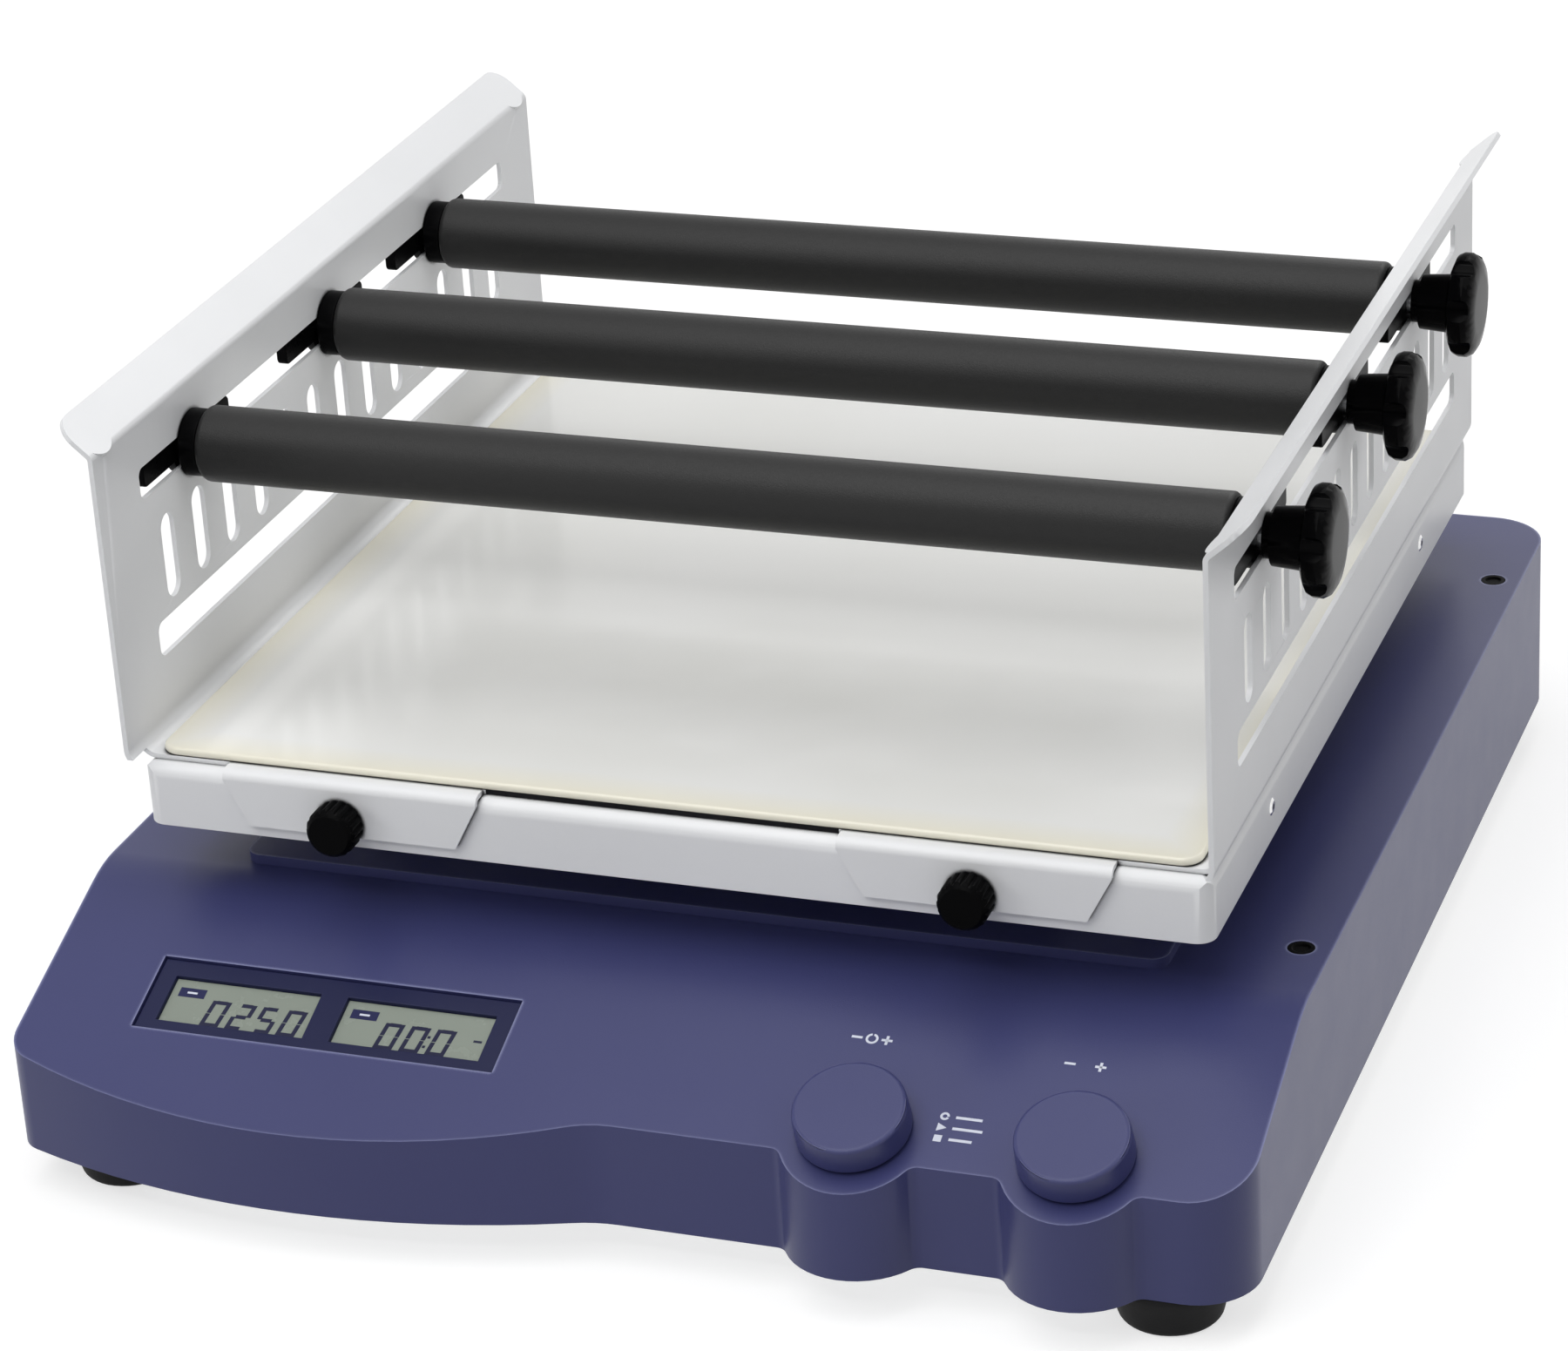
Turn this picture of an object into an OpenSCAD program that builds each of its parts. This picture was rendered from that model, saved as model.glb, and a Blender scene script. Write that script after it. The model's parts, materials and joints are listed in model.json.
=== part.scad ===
// Orbital shaker with a bar cradle for flasks.
// Millimetres, +Z up, +X to the right, +Y to the rear.
// The origin is on the bench, under the middle of the housing.

/* [Housing] */
// width of the housing
base_w = 370; // [340:1:420]
// rear face, measured from the origin
base_rear = 213; // [205:1:240]
// straight part of the front edge, measured from the origin
front_y = -195.8; // [-205:0.1:-192]
// underside of the housing above the bench
base_bottom = 14; // [10:0.5:20]
// flat top of the housing above the bench
deck_z = 72; // [70:0.5:76]
// thickness of the moulded walls
wall = 3; // [2:0.1:4]
// line where the flat top turns down into the sloping panel
crease_y = -128; // [-135:0.5:-126]
// slope of the control panel
panel_angle = 20.9; // [15:0.1:24]
// radius that softens the crease
crease_r = 40; // [10:1:50]
// radius of the two rear corners
rear_corner_r = 19; // [8:0.5:30]
// radius of the right front corner
front_corner_r = 18; // [8:0.5:20]
// radius of the left front corner
left_corner_r = 10; // [5:0.5:14]
// middle of the wide curve under the displays, from the left side
bulge_in = 90; // [85:1:100]
// foremost point of the wide curve
bulge_tip = -213; // [-216:0.5:-210]
// radius of the wide curve
bulge_r = 252; // [230:1:280]
// radius of the hollow that runs the wide curve into the straight edge
bulge_blend_r = 40; // [20:1:60]
// radius of the rounded noses under the knobs
bump_r = 21.4; // [19:0.1:24]
// radius of the hollows beside the noses
bump_blend_r = 4; // [2:0.5:6]
// distance of the raised part under the platform from the housing's sides
plateau_in = 42.5; // [38:0.5:50]
// front edge of the raised part
plateau_front = -118; // [-120:0.5:-112]
// height of the raised part over the flat top
plateau_rise = 3; // [2:0.5:6]
// corner radius of the raised part
plateau_r = 5; // [4:0.5:25]

/* [Case fixings] */
// diameter of the hole plugs
plug_d = 8; // [7.6:0.1:9]
// distance of the plugs from the housing's sides
plug_in = 9; // [8.5:0.5:13]
// front pair of plugs
plug_front_y = -96; // [-110:1:-90]
// rear pair of plugs
plug_rear_y = 162.6; // [150:0.2:175]
// shank diameter of the case screws
case_screw_d = 4; // [3:0.5:4]
// thickness of the bottom plate
plate_t = 3; // [2:0.5:4]

/* [Feet] */
// greatest diameter of a foot
foot_d = 35.5; // [30:0.5:36]
// diameter of the face that stands on the bench
foot_sole_d = 27; // [20:0.5:28]
// distance of the feet from the housing's sides
foot_in = 26; // [23:0.5:35]
// front pair of feet
foot_front_y = -178; // [-178:0.5:-165]
// rear pair of feet
foot_rear_y = 185; // [170:0.5:190]
// shank diameter of the foot screws
foot_screw_d = 5; // [4:0.5:6]

/* [Control panel] */
// distance of the right knob's axis from the right side
knob_in = 49.1; // [48:0.1:55]
// distance between the two knob axes
knob_pitch = 63.6; // [60:0.1:66]
// position of the knob axes on the panel
knob_y = -186.3; // [-188:0.1:-184]
// diameter of a knob at its foot
knob_d = 33; // [28:0.5:35]
// diameter of the flat top of a knob
knob_top_d = 31.4; // [26:0.2:31.6]
// height of a knob's top above the panel
knob_top = 10; // [9:0.5:14]
// free height under a knob
knob_gap = 1.2; // [1.1:0.1:2]
// diameter of an encoder shaft
shaft_d = 6; // [5:0.5:6]
// width of the display frame
display_w = 113.5; // [108:0.5:116]
// height of the display frame along the slope
display_h = 27; // [24:0.5:28]
// distance of the display frame from the left side
display_in = 34.5; // [32:0.25:37]
// middle of the display frame, front to rear
display_y = -170.9; // [-172:0.1:-168]
// width of the frame beside the windows
window_side = 6; // [4:0.5:10]
// width of the frame between the windows
window_gap = 8.5; // [6:0.5:12]
// height of the frame above and below the windows, together
window_rims = 10.3; // [8:0.1:12]

/* [Drive] */
// distance of the drive axis from the origin
drive_y = 19; // [17:0.5:21]
// offset of every crank pin: half the orbit's diameter
throw = 5; // [3:0.5:6]
// diameter of the main spindle
spindle_d = 20; // [16:1:20]
// diameter of the main crank pin
crank_pin_d = 12; // [10:1:12]
// diameter of the idler shafts
idler_shaft_d = 10; // [8:1:10]
// diameter of the idler pins
idler_pin_d = 8; // [6:1:8]
// distance of the idlers from the housing's sides
idler_in = 75; // [70:1:80]
// distance of the idlers from the drive axis, front to rear
idler_dy = 100; // [94:1:102]
// distance of the motor from the drive axis
motor_dy = 111; // [105:1:125]
// diameter of the motor
motor_d = 76; // [60:1:80]
// belt diameter of the driven pulley
driven_d = 90; // [80:1:100]
// belt diameter of the motor pulley
driver_d = 30; // [24:1:36]
// width of the belt
belt_w = 9; // [6:0.5:10]
// thickness of the belt
belt_t = 2; // [1:0.5:2.5]
// outer radius of the counterweight
weight_r = 62; // [50:1:70]

/* [Platform] */
// width of the platform
tray_w = 324; // [320:1:325]
// length of the platform, front to rear
tray_l = 325.7; // [320:0.1:330]
// top of the platform above the bench
tray_top = 113; // [112:0.5:116]
// lower edge of the platform's skirt above the bench
tray_bottom = 93.3; // [92:0.1:95]
// sheet thickness of the platform
tray_t = 2; // [1.5:0.5:2.5]
// radius of the platform's upper edges
tray_edge_r = 4.5; // [3:0.5:5]
// radius of the platform's upright corners
tray_corner_r = 5.5; // [4.5:0.5:8]
// front pair of skirt screws, from the platform's middle
skirt_screw_front = -96.7; // [-105:0.1:-90]
// rear pair of skirt screws, from the platform's middle
skirt_screw_rear = 93.1; // [85:0.1:100]
// height of the skirt screws above the skirt's lower edge
skirt_screw_up = 10.2; // [9:0.1:11]
// shank diameter of the skirt screws
skirt_screw_d = 3; // [2.5:0.5:4]

/* [Cradle] */
// width over the upright walls
cradle_w = 328.4; // [326.4:0.1:330]
// sheet thickness of the cradle
cradle_t = 1.5; // [1:0.1:2]
// front edge of the walls, from the platform's middle
cradle_front = -167.6; // [-170:0.1:-166]
// rear edge of the walls, from the platform's middle
cradle_rear = 158.7; // [155:0.1:162]
// front edge of the floor, from the platform's middle
floor_front = -158.8; // [-159.5:0.1:-154]
// height to which the front of the bends is cut away over the platform
bend_relief = 3; // [2:0.5:5]
// outer radius of the bend between floor and wall
cradle_bend_r = 6; // [4:0.5:7]
// height at which the walls turn outward, above the bench
lip_z = 211; // [205:0.5:216]
// angle of the lip from the upright
lip_angle = 49; // [40:1:60]
// length of the lip
lip_l = 13.9; // [10:0.1:18]
// radius of the lip's corners
lip_corner_r = 8; // [4:0.5:10]
// number of upright slots in each wall
slot_count = 13; // [9:1:13]
// spacing of the upright slots
slot_pitch = 20.6; // [19:0.1:21]
// width of an upright slot
slot_w = 8.5; // [6:0.1:10]
// lower end of the upright slots
slot_low = 151.6; // [151:0.1:156]
// upper end of the upright slots
slot_high = 178; // [172:0.1:181]
// lower edge of the long lower window
low_window_z = 136.7; // [132:0.1:139]
// height of the long lower window
low_window_h = 10.8; // [8:0.1:11.8]
// length of the long windows
window_l = 274.5; // [268:0.5:278]
// height of the long upper slot
bar_slot_h = 9.7; // [9:0.1:11]
// inner end of a front tab at its top, from the middle plane
tab_in = 54.5; // [50:0.5:58]
// outer end of a front tab at its top, from the middle plane
tab_out = 134.5; // [130:0.5:140]
// slant of a tab's ends
tab_slant = 7.5; // [4:0.1:12]
// depth of a tab below the platform's top
tab_drop = 15.6; // [14.5:0.1:18]
// gap between a tab and the platform's skirt
tab_gap = 0.6; // [0.1:0.1:1]

/* [Thumb screws] */
// left thumb screw, from the middle plane
thumb_left_x = -97.8; // [-102:0.1:-92]
// right thumb screw, from the middle plane
thumb_right_x = 93.5; // [88:0.1:99]
// height of the thumb screws above the bench
thumb_z = 101.8; // [101.5:0.1:104]
// diameter of the ribbed head
thumb_d = 15.4; // [13:0.1:17]
// length of the ribbed head
thumb_l = 8.7; // [7:0.1:11]
// diameter of the thumb screw's thread
thumb_thread_d = 5; // [4:0.5:6]

/* [Mat] */
// gap between the mat and the bends of the cradle
mat_gap = 0.5; // [0.3:0.1:5]
// front edge of the mat, from the platform's middle
mat_front = -159; // [-162:0.5:-155]
// rear edge of the mat, from the platform's middle
mat_rear = 154; // [148:0.5:157]
// thickness of the mat
mat_t = 2.5; // [2:0.1:4]
// corner radius of the mat
mat_r = 6; // [3:0.5:20]

/* [Bars] */
// diameter of a sleeve
sleeve_d = 22.8; // [19:0.1:24]
// height of the bars above the bench
bar_z = 192.3; // [190:0.1:194]
// diameter of a through rod
rod_d = 8; // [6:0.5:8]
// front bar, from the platform's middle
bar_front_y = -107; // [-110:0.5:-104]
// middle bar, from the platform's middle
bar_middle_y = -8; // [-12:0.5:-6]
// rear bar, from the platform's middle
bar_rear_y = 75.5; // [71:0.5:77]
// length of a guide strip
guide_l = 58; // [50:1:64]
// height of a guide strip
guide_h = 7; // [5:0.1:9]
// thickness of a guide strip
guide_t = 3.5; // [2:0.1:4]
// diameter of the round middle of a guide strip
guide_boss_d = 19; // [15:0.5:20]
// diameter of a clamp knob
star_d = 32; // [28:0.5:36]
// thickness of a clamp knob's head
star_t = 8.4; // [7:0.1:11]
// number of lobes round a clamp knob
star_lobes = 7; // [5:1:9]
// diameter of a clamp knob's neck where it meets the head
star_neck_d = 18.4; // [14:0.1:19]
// length of a clamp knob's neck
star_neck_l = 9.9; // [8:0.1:14]

/* [Mains] */
// middle of the mains inlet, left of the middle plane
inlet_x = -112; // [-125:1:-60]
// height of the middle of the mains inlet above the bench
inlet_z = 42; // [38:1:46]

/* [Fits] */
// radial clearance where one piece turns or slides in another
run_fit = 0.03; // [0.02:0.01:0.08]
// gap round pieces set into an opening
set_gap = 0.3; // [0.2:0.05:0.5]

/* [Hidden] */
$fn = 96;

half_w = base_w / 2;
bulge_x = -half_w + bulge_in;
plateau_w = base_w - 2 * plateau_in;
plug_x = half_w - plug_in;
foot_x = half_w - foot_in;
idler_x = half_w - idler_in;
time_x = half_w - knob_in;
speed_x = time_x - knob_pitch;
display_x = -half_w + display_in + display_w / 2;
window_w = (display_w - 2 * window_side - window_gap) / 2;
window_h = display_h - window_rims;
window_pitch = window_w + window_gap;
bulge_y = bulge_tip + bulge_r;
left_corner_x = -half_w + left_corner_r;
left_corner_y = bulge_y - sqrt(pow(bulge_r - left_corner_r, 2) - pow(left_corner_x - bulge_x, 2));
blend_y = front_y - bulge_blend_r;
blend_x = bulge_x + sqrt(pow(bulge_r + bulge_blend_r, 2) - pow(blend_y - bulge_y, 2));
crease_cy = crease_y + crease_r * tan(panel_angle / 2);
plateau_rear = 2 * drive_y - plateau_front;
plateau_top = deck_z + plateau_rise;
plate_top = base_bottom + plate_t;

boss_d = 12;
boss_bottom = 48;
plate_boss_d = 10;
screw_seat_z = 56;
plug_t = 4;

board_t = 1.6;
board_depth = 13.4;
panel_board_h = 47;
board_margin = 6;
stake_d = 7;
stake_pin_d = 3;
push_travel = 0.8;
bezel_sink = 0.8;
bezel_flange_t = 1.5;
encoder_h = 7;
encoder_w = 14;
bushing_d = 9;
knob_bore_top = knob_top - 3;

web_z = 80;
web_t = 7;
spindle_low = 19;
spindle_flange_d = 44;
block_d = 62;
block_h = 33;
block_foot = 84;
block_foot_t = 6;
bearing_w = 12;
spindle_bearing_d = 42;
crank_bearing_d = 28;
crank_bearing_w = 8;
idler_bearing_d = 30;
idler_bearing_w = 9;
idler_block_d = 40;
idler_block_top = 70;
idler_block_foot = 48;
idler_flange_d = 28;
pin_bearing_d = 22;
pin_bearing_w = 7;
carrier_t = 6;
tray_y = drive_y + throw;
carrier_top = tray_top - tray_t;
carrier_low = carrier_top - carrier_t;
carrier_w = tray_w - 2 * tray_t - 2 * tray_edge_r;
carrier_l = 2 * idler_dy + 40;
lug_top = tray_top - tray_edge_r - 0.3;
lug_w = 14;
lug_l = 18;
boss_low = 96;
bearing_seat_z = 97;
pin_top = carrier_top - 3;
pulley_z = 52;
pulley_t = 12;
motor_y = drive_y + motor_dy;
motor_top = 49;

wall_out = cradle_w / 2;
wall_in = wall_out - cradle_t;
cradle_floor = tray_top + cradle_t;
skirt_y = tray_y - tray_l / 2;
tab_face = skirt_y - tab_gap - cradle_t;
tab_bend_r = 2 * cradle_t;
skirt_screw_z = tray_bottom + skirt_screw_up;
skirt_head_d = skirt_screw_d + 2.4;
skirt_head_h = 1.2;

mat_w = 2 * (wall_out - cradle_bend_r - mat_gap);
cap_d = sleeve_d - 2.6;
cap_left = 5.6;
cap_right = 3;
guide_left = wall_out + 0.05;
guide_right = wall_in - 0.05 - guide_t;
nut_d = 14;
nut_t = 4;
sleeve_left = wall_in - 0.1 - cap_left;
sleeve_right = guide_right - 0.1 - cap_right;
sleeve_end_r = 2;
star_washer_t = 2.4;
star_washer_d = 13;
star_head = wall_out + 0.1 + star_washer_t + star_neck_l;
star_out = star_head + star_t;

function panel_z(y) = deck_z + tan(panel_angle) * (y - crease_y);

// Helpers

module along_x(w) {
  rotate([90, 0, 90]) linear_extrude(w, center = true) children();
}

module along_y(l) {
  rotate([90, 0, 0]) linear_extrude(l, center = true) children();
}

module on_panel(x, y) {
  translate([x, y, panel_z(y)]) rotate([panel_angle, 0, 0]) children();
}

module rounded(w, l, r) {
  square([w - 2 * r, l], center = true);
  square([w, l - 2 * r], center = true);
  for (sx = [-1, 1], sy = [-1, 1])
    translate([sx * (w / 2 - r), sy * (l / 2 - r)]) circle(r);
}

module ring(outer_d, inner_d, h) {
  difference() {
    cylinder(d = outer_d, h = h);
    translate([0, 0, -1]) cylinder(d = inner_d, h = h + 2);
  }
}

module at_feet() {
  for (sx = [-1, 1], y = [foot_front_y, foot_rear_y])
    translate([sx * foot_x, y, 0]) children();
}

module at_plugs() {
  for (sx = [-1, 1], y = [plug_front_y, plug_rear_y])
    translate([sx * plug_x, y, 0]) children();
}

module at_idlers(dy = 0) {
  for (sx = [-1, 1], sy = [-1, 1])
    translate([sx * idler_x, drive_y + dy + sy * idler_dy, 0]) children();
}

module at_knobs() {
  for (x = [speed_x, time_x])
    on_panel(x, knob_y) children();
}

// Housing outline, drawn in by d

module nose(x, d) {
  drop = front_y - bump_blend_r - knob_y;
  reach = sqrt(pow(bump_r + bump_blend_r, 2) - drop * drop);
  translate([x, knob_y]) {
    circle(bump_r - d);
    for (s = [-1, 1])
      difference() {
        polygon([[0, 0], [s * reach, 0], [s * reach, drop]]);
        translate([s * reach, drop]) circle(bump_blend_r + d);
      }
  }
}

module bulge(d) {
  lx = (left_corner_x - bulge_x) / (bulge_r - left_corner_r);
  ly = (left_corner_y - bulge_y) / (bulge_r - left_corner_r);
  rx = (blend_x - bulge_x) / (bulge_r + bulge_blend_r);
  ry = (blend_y - bulge_y) / (bulge_r + bulge_blend_r);
  far = 2 * bulge_r;
  intersection() {
    translate([bulge_x, bulge_y]) circle(bulge_r - d);
    translate([bulge_x, bulge_y]) polygon([[0, 0], far * [lx, ly], far * [rx, ry]]);
  }
  difference() {
    polygon([[bulge_x, bulge_y], [blend_x, blend_y], [blend_x, bulge_y]]);
    translate([blend_x, blend_y]) circle(bulge_blend_r + d);
  }
}

module plan(d) {
  rear_c = base_rear - rear_corner_r;
  front_c = front_y + front_corner_r;
  translate([-half_w + d, left_corner_y]) square([half_w - d, rear_c - left_corner_y]);
  translate([0, front_c]) square([half_w - d, rear_c - front_c]);
  translate([-half_w + rear_corner_r, 0]) square([base_w - 2 * rear_corner_r, base_rear - d]);
  for (s = [-1, 1])
    translate([s * (half_w - rear_corner_r), rear_c]) circle(rear_corner_r - d);
  translate([blend_x, front_y + d]) square([half_w - front_corner_r - blend_x, 60]);
  translate([half_w - front_corner_r, front_c]) circle(front_corner_r - d);
  translate([left_corner_x, left_corner_y]) circle(left_corner_r - d);
  bulge(d);
  nose(speed_x, d);
  nose(time_x, d);
}

module roof(d) {
  r = crease_r - d;
  cz = deck_z - crease_r;
  far = 300;
  along_x(base_w + 40) {
    polygon([
      [-far, -20],
      [-far, panel_z(-far) - d / cos(panel_angle)],
      [crease_cy - r * sin(panel_angle), cz + r * cos(panel_angle)],
      [crease_cy, cz],
      [crease_cy, deck_z - d],
      [far, deck_z - d],
      [far, -20]
    ]);
    translate([crease_cy, cz]) circle(r);
  }
}

module plateau(d) {
  l = plateau_rear - plateau_front - 2 * d;
  translate([0, drive_y, deck_z - 6])
    linear_extrude(6 + plateau_rise - d) rounded(plateau_w - 2 * d, l, plateau_r - d);
}

module case_form(d, low) {
  intersection() {
    translate([0, 0, low]) linear_extrude(deck_z + 5 - low) plan(d);
    roof(d);
  }
  plateau(d);
}

inlet_w = 58;
inlet_h = 32;
inlet_body_w = 47.4;
inlet_body_h = 26.4;
inlet_flange_t = 2;
inlet_depth = 26;

module at_inlet() {
  translate([inlet_x, base_rear, inlet_z]) children();
}

stake_up = 12;
stakes = [
  display_x - display_w / 2 - 7.5,
  display_x + display_w / 2 + 7,
  (display_x + display_w / 2 + speed_x) / 2,
  (speed_x + time_x) / 2,
  time_x + 22
];

module at_stakes() {
  for (x = stakes)
    on_panel(x, knob_y) translate([0, stake_up, 0]) children();
}

module housing() {
  color([0.29, 0.30, 0.44])
  difference() {
    union() {
      difference() {
        case_form(0, base_bottom);
        case_form(wall, base_bottom - 1);
      }
      at_plugs()
        translate([0, 0, boss_bottom]) cylinder(d = boss_d, h = deck_z - 1 - boss_bottom);
      at_stakes()
        translate([0, 0, -board_depth]) cylinder(d = stake_d, h = board_depth - wall / 2);
      at_stakes()
        translate([0, 0, -board_depth - board_t - 1]) cylinder(d = stake_pin_d, h = board_t + 2);
      at_inlet()
        translate([0, -wall - 1, 0]) cube([inlet_w + 8, 5, inlet_h + 8], center = true);
    }
    at_plugs()
      translate([0, 0, screw_seat_z]) cylinder(d = plug_d, h = deck_z);
    at_plugs()
      cylinder(d = case_screw_d + 2 * set_gap, h = deck_z);
    on_panel(display_x, display_y)
      cube([display_w, display_h, 12], center = true);
    at_knobs()
      cylinder(d = bushing_d + 2 * set_gap, h = 12, center = true);
    translate([0, drive_y, deck_z - 8])
      cylinder(d = spindle_d + 8, h = 20);
    at_idlers()
      translate([0, 0, deck_z - 8]) cylinder(d = idler_shaft_d + 6, h = 20);
    at_inlet()
      cube([inlet_w + 2 * set_gap, 2 * inlet_flange_t, inlet_h + 2 * set_gap], center = true);
    at_inlet()
      cube([inlet_body_w + 2 * set_gap, 30, inlet_body_h + 2 * set_gap], center = true);
  }
}

module base_plate() {
  color([0.62, 0.63, 0.65])
  difference() {
    union() {
      translate([0, 0, base_bottom]) linear_extrude(plate_t) plan(wall + set_gap);
      at_plugs()
        translate([0, 0, plate_top - 1]) cylinder(d = plate_boss_d, h = boss_bottom - plate_top + 1);
      for (sx = [-1, 1], sy = [-1, 1])
        translate([
          main_board_x + sx * (main_board_w / 2 - 5),
          drive_y + 1 + sy * (main_board_l / 2 - 5),
          plate_top - 1
        ]) cylinder(d = 6, h = standoff_h + 1);
    }
    at_plugs()
      translate([0, 0, 30]) cylinder(d = case_screw_d + 2 * run_fit, h = 40);
    at_feet()
      cylinder(d = foot_screw_d + 2 * run_fit, h = 40);
    for (s = [-1, 1], i = [0 : 7])
      translate([s * 60, -140 + 8 * i, base_bottom - 1])
        linear_extrude(plate_t + 2) rounded(60, 4, 1.9);
    for (i = [0 : 5])
      translate([0, 180 + 4 * i - 4, base_bottom - 1])
        linear_extrude(plate_t + 2) rounded(90, 2, 0.9);
  }
}

module feet() {
  color([0.10, 0.10, 0.11])
  at_feet()
    difference() {
      rotate_extrude() difference() {
        union() {
          square([foot_d / 2, base_bottom]);
        }
        polygon([
          [foot_sole_d / 2, -1],
          [foot_sole_d / 2, 0],
          [foot_sole_d / 2 + 1.2, 1],
          [foot_d / 2 - 1, 9],
          [foot_d / 2, 12],
          [foot_d, 12],
          [foot_d, -1]
        ]);
      }
      translate([0, 0, -1]) cylinder(d = foot_screw_d + 7, h = 6);
      translate([0, 0, -1]) cylinder(d = foot_screw_d + 2 * run_fit, h = 30);
    }
}

module foot_screws() {
  color([0.75, 0.76, 0.78])
  at_feet()
    difference() {
      union() {
        translate([0, 0, 2]) cylinder(d = foot_screw_d + 5, h = 3);
        translate([0, 0, 4]) cylinder(d = foot_screw_d, h = plate_top - 1);
      }
      translate([0, 0, 1]) cylinder(d = 3, h = 2.6, $fn = 6);
    }
}

module case_screws() {
  color([0.75, 0.76, 0.78])
  at_plugs()
    difference() {
      union() {
        translate([0, 0, screw_seat_z]) cylinder(d = plug_d - 0.8, h = 4);
        translate([0, 0, 34]) cylinder(d = case_screw_d, h = screw_seat_z - 33);
      }
      translate([0, 0, screw_seat_z + 1.5]) cylinder(d = 3, h = 4, $fn = 6);
    }
}

module hole_plugs() {
  color([0.12, 0.12, 0.14])
  at_plugs() {
    difference() {
      translate([0, 0, deck_z - plug_t]) cylinder(d = plug_d, h = plug_t);
      translate([0, 0, deck_z - 0.6]) cylinder(d = plug_d - 3, h = 2);
    }
  }
}

// Control panel

module display_bezel() {
  color([0.16, 0.17, 0.28])
  on_panel(display_x, display_y)
    difference() {
      union() {
        translate([0, 0, -wall - bezel_flange_t])
          linear_extrude(bezel_flange_t) square([display_w + 4, display_h + 4], center = true);
        translate([0, 0, -wall - 0.5])
          linear_extrude(wall + 0.5 - bezel_sink)
            square([display_w - 2 * set_gap, display_h - 2 * set_gap], center = true);
      }
      for (s = [-1, 1])
        translate([s * window_pitch / 2, -1, 0]) cube([window_w, window_h, 20], center = true);
    }
}

module lcd_modules() {
  top = -wall - bezel_flange_t;
  color([0.60, 0.64, 0.58])
  on_panel(display_x, display_y)
    for (s = [-1, 1])
      translate([s * window_pitch / 2, -1, (top - board_depth) / 2])
        cube([window_w + 4, window_h + 4, top + board_depth], center = true);
}

module panel_board() {
  left = stakes[0] - board_margin;
  right = stakes[4] + board_margin;
  color([0.08, 0.36, 0.20])
  on_panel(0, knob_y)
    difference() {
      translate([(left + right) / 2, 14.5, -board_depth - board_t / 2])
        cube([right - left, panel_board_h, board_t], center = true);
      for (x = stakes)
        translate([x, stake_up, -board_depth - board_t - 1])
          cylinder(d = stake_pin_d + 2 * run_fit, h = board_t + 2);
    }
}

module encoders() {
  color([0.20, 0.22, 0.24])
  at_knobs()
    difference() {
      union() {
        translate([0, 0, -board_depth + encoder_h / 2])
          cube([encoder_w, encoder_w, encoder_h], center = true);
        translate([0, 0, -board_depth + encoder_h - 1])
          cylinder(d = bushing_d, h = board_depth - encoder_h + 0.5);
      }
      translate([0, 0, -board_depth + 0.4])
        cylinder(d = shaft_d + 2 * run_fit, h = 30);
    }
}

module plunger() {
  color([0.85, 0.80, 0.62])
  translate([0, 0, -board_depth + 0.4 + push_travel + 0.1]) cylinder(d = shaft_d - 0.02, h = 1.6);
}

module shaft() {
  low = -board_depth + 0.4 + push_travel + 0.1 + 1.65;
  color([0.78, 0.79, 0.80])
  translate([0, 0, low]) cylinder(d = shaft_d, h = knob_bore_top - low);
}

module knob() {
  color([0.29, 0.30, 0.44])
  difference() {
    rotate_extrude() polygon([
      [0, knob_gap],
      [knob_d / 2, knob_gap],
      [knob_d / 2, knob_gap + 1],
      [knob_top_d / 2 + 0.5, knob_top - 0.8],
      [knob_top_d / 2 - 0.3, knob_top],
      [0, knob_top]
    ]);
    cylinder(d = shaft_d + 2 * run_fit, h = knob_bore_top + 0.05);
    difference() {
      translate([0, 0, knob_gap - 1]) cylinder(d = knob_d - 5, h = knob_bore_top - knob_gap);
      cylinder(d = shaft_d + 5, h = knob_top);
    }
  }
}

module speed_plunger() { on_panel(speed_x, knob_y) plunger(); }
module speed_shaft() { on_panel(speed_x, knob_y) shaft(); }
module speed_knob() { on_panel(speed_x, knob_y) knob(); }
module time_plunger() { on_panel(time_x, knob_y) plunger(); }
module time_shaft() { on_panel(time_x, knob_y) shaft(); }
module time_knob() { on_panel(time_x, knob_y) knob(); }

// Electrics

main_board_w = 86;
main_board_l = 126;
main_board_x = 108;
standoff_h = 8;
capacitor_d = 12;
capacitor_h = 18;

module main_board() {
  color([0.08, 0.36, 0.20])
  translate([main_board_x, drive_y + 1, plate_top + standoff_h]) {
    translate([0, 0, board_t / 2]) cube([main_board_w, main_board_l, board_t], center = true);
    translate([8, 30, board_t]) cube([30, 12, 18]);
    translate([-36, -54, board_t]) cube([22, 30, 12]);
    for (x = [-8, 12])
      translate([x, -50, board_t]) cylinder(d = capacitor_d, h = capacitor_h);
    translate([-34, 20, board_t]) cube([14, 30, 9]);
  }
}

supply_w = 84;
supply_l = 124;
supply_h = 32;
supply_t = 2;
supply_x = 106;

module power_supply() {
  color([0.70, 0.71, 0.73])
  translate([-supply_x, drive_y + 1, plate_top + supply_h / 2])
    difference() {
      cube([supply_w, supply_l, supply_h], center = true);
      cube([supply_w - 2 * supply_t, supply_l - 2 * supply_t, supply_h - 2 * supply_t], center = true);
      for (i = [-5 : 5], s = [-1, 1])
        translate([s * supply_w / 2, i * 10, 0]) cube([3 * supply_t, 5, 20], center = true);
    }
}

rocker_x = 14.5;
rocker_w = 13;
rocker_slot_w = 13.8;
rocker_slot_h = 20.4;
rocker_r = 9.4;
rocker_sink = 5.6;
rocker_tilt = 8;
rocker_pin_d = 3;

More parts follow.
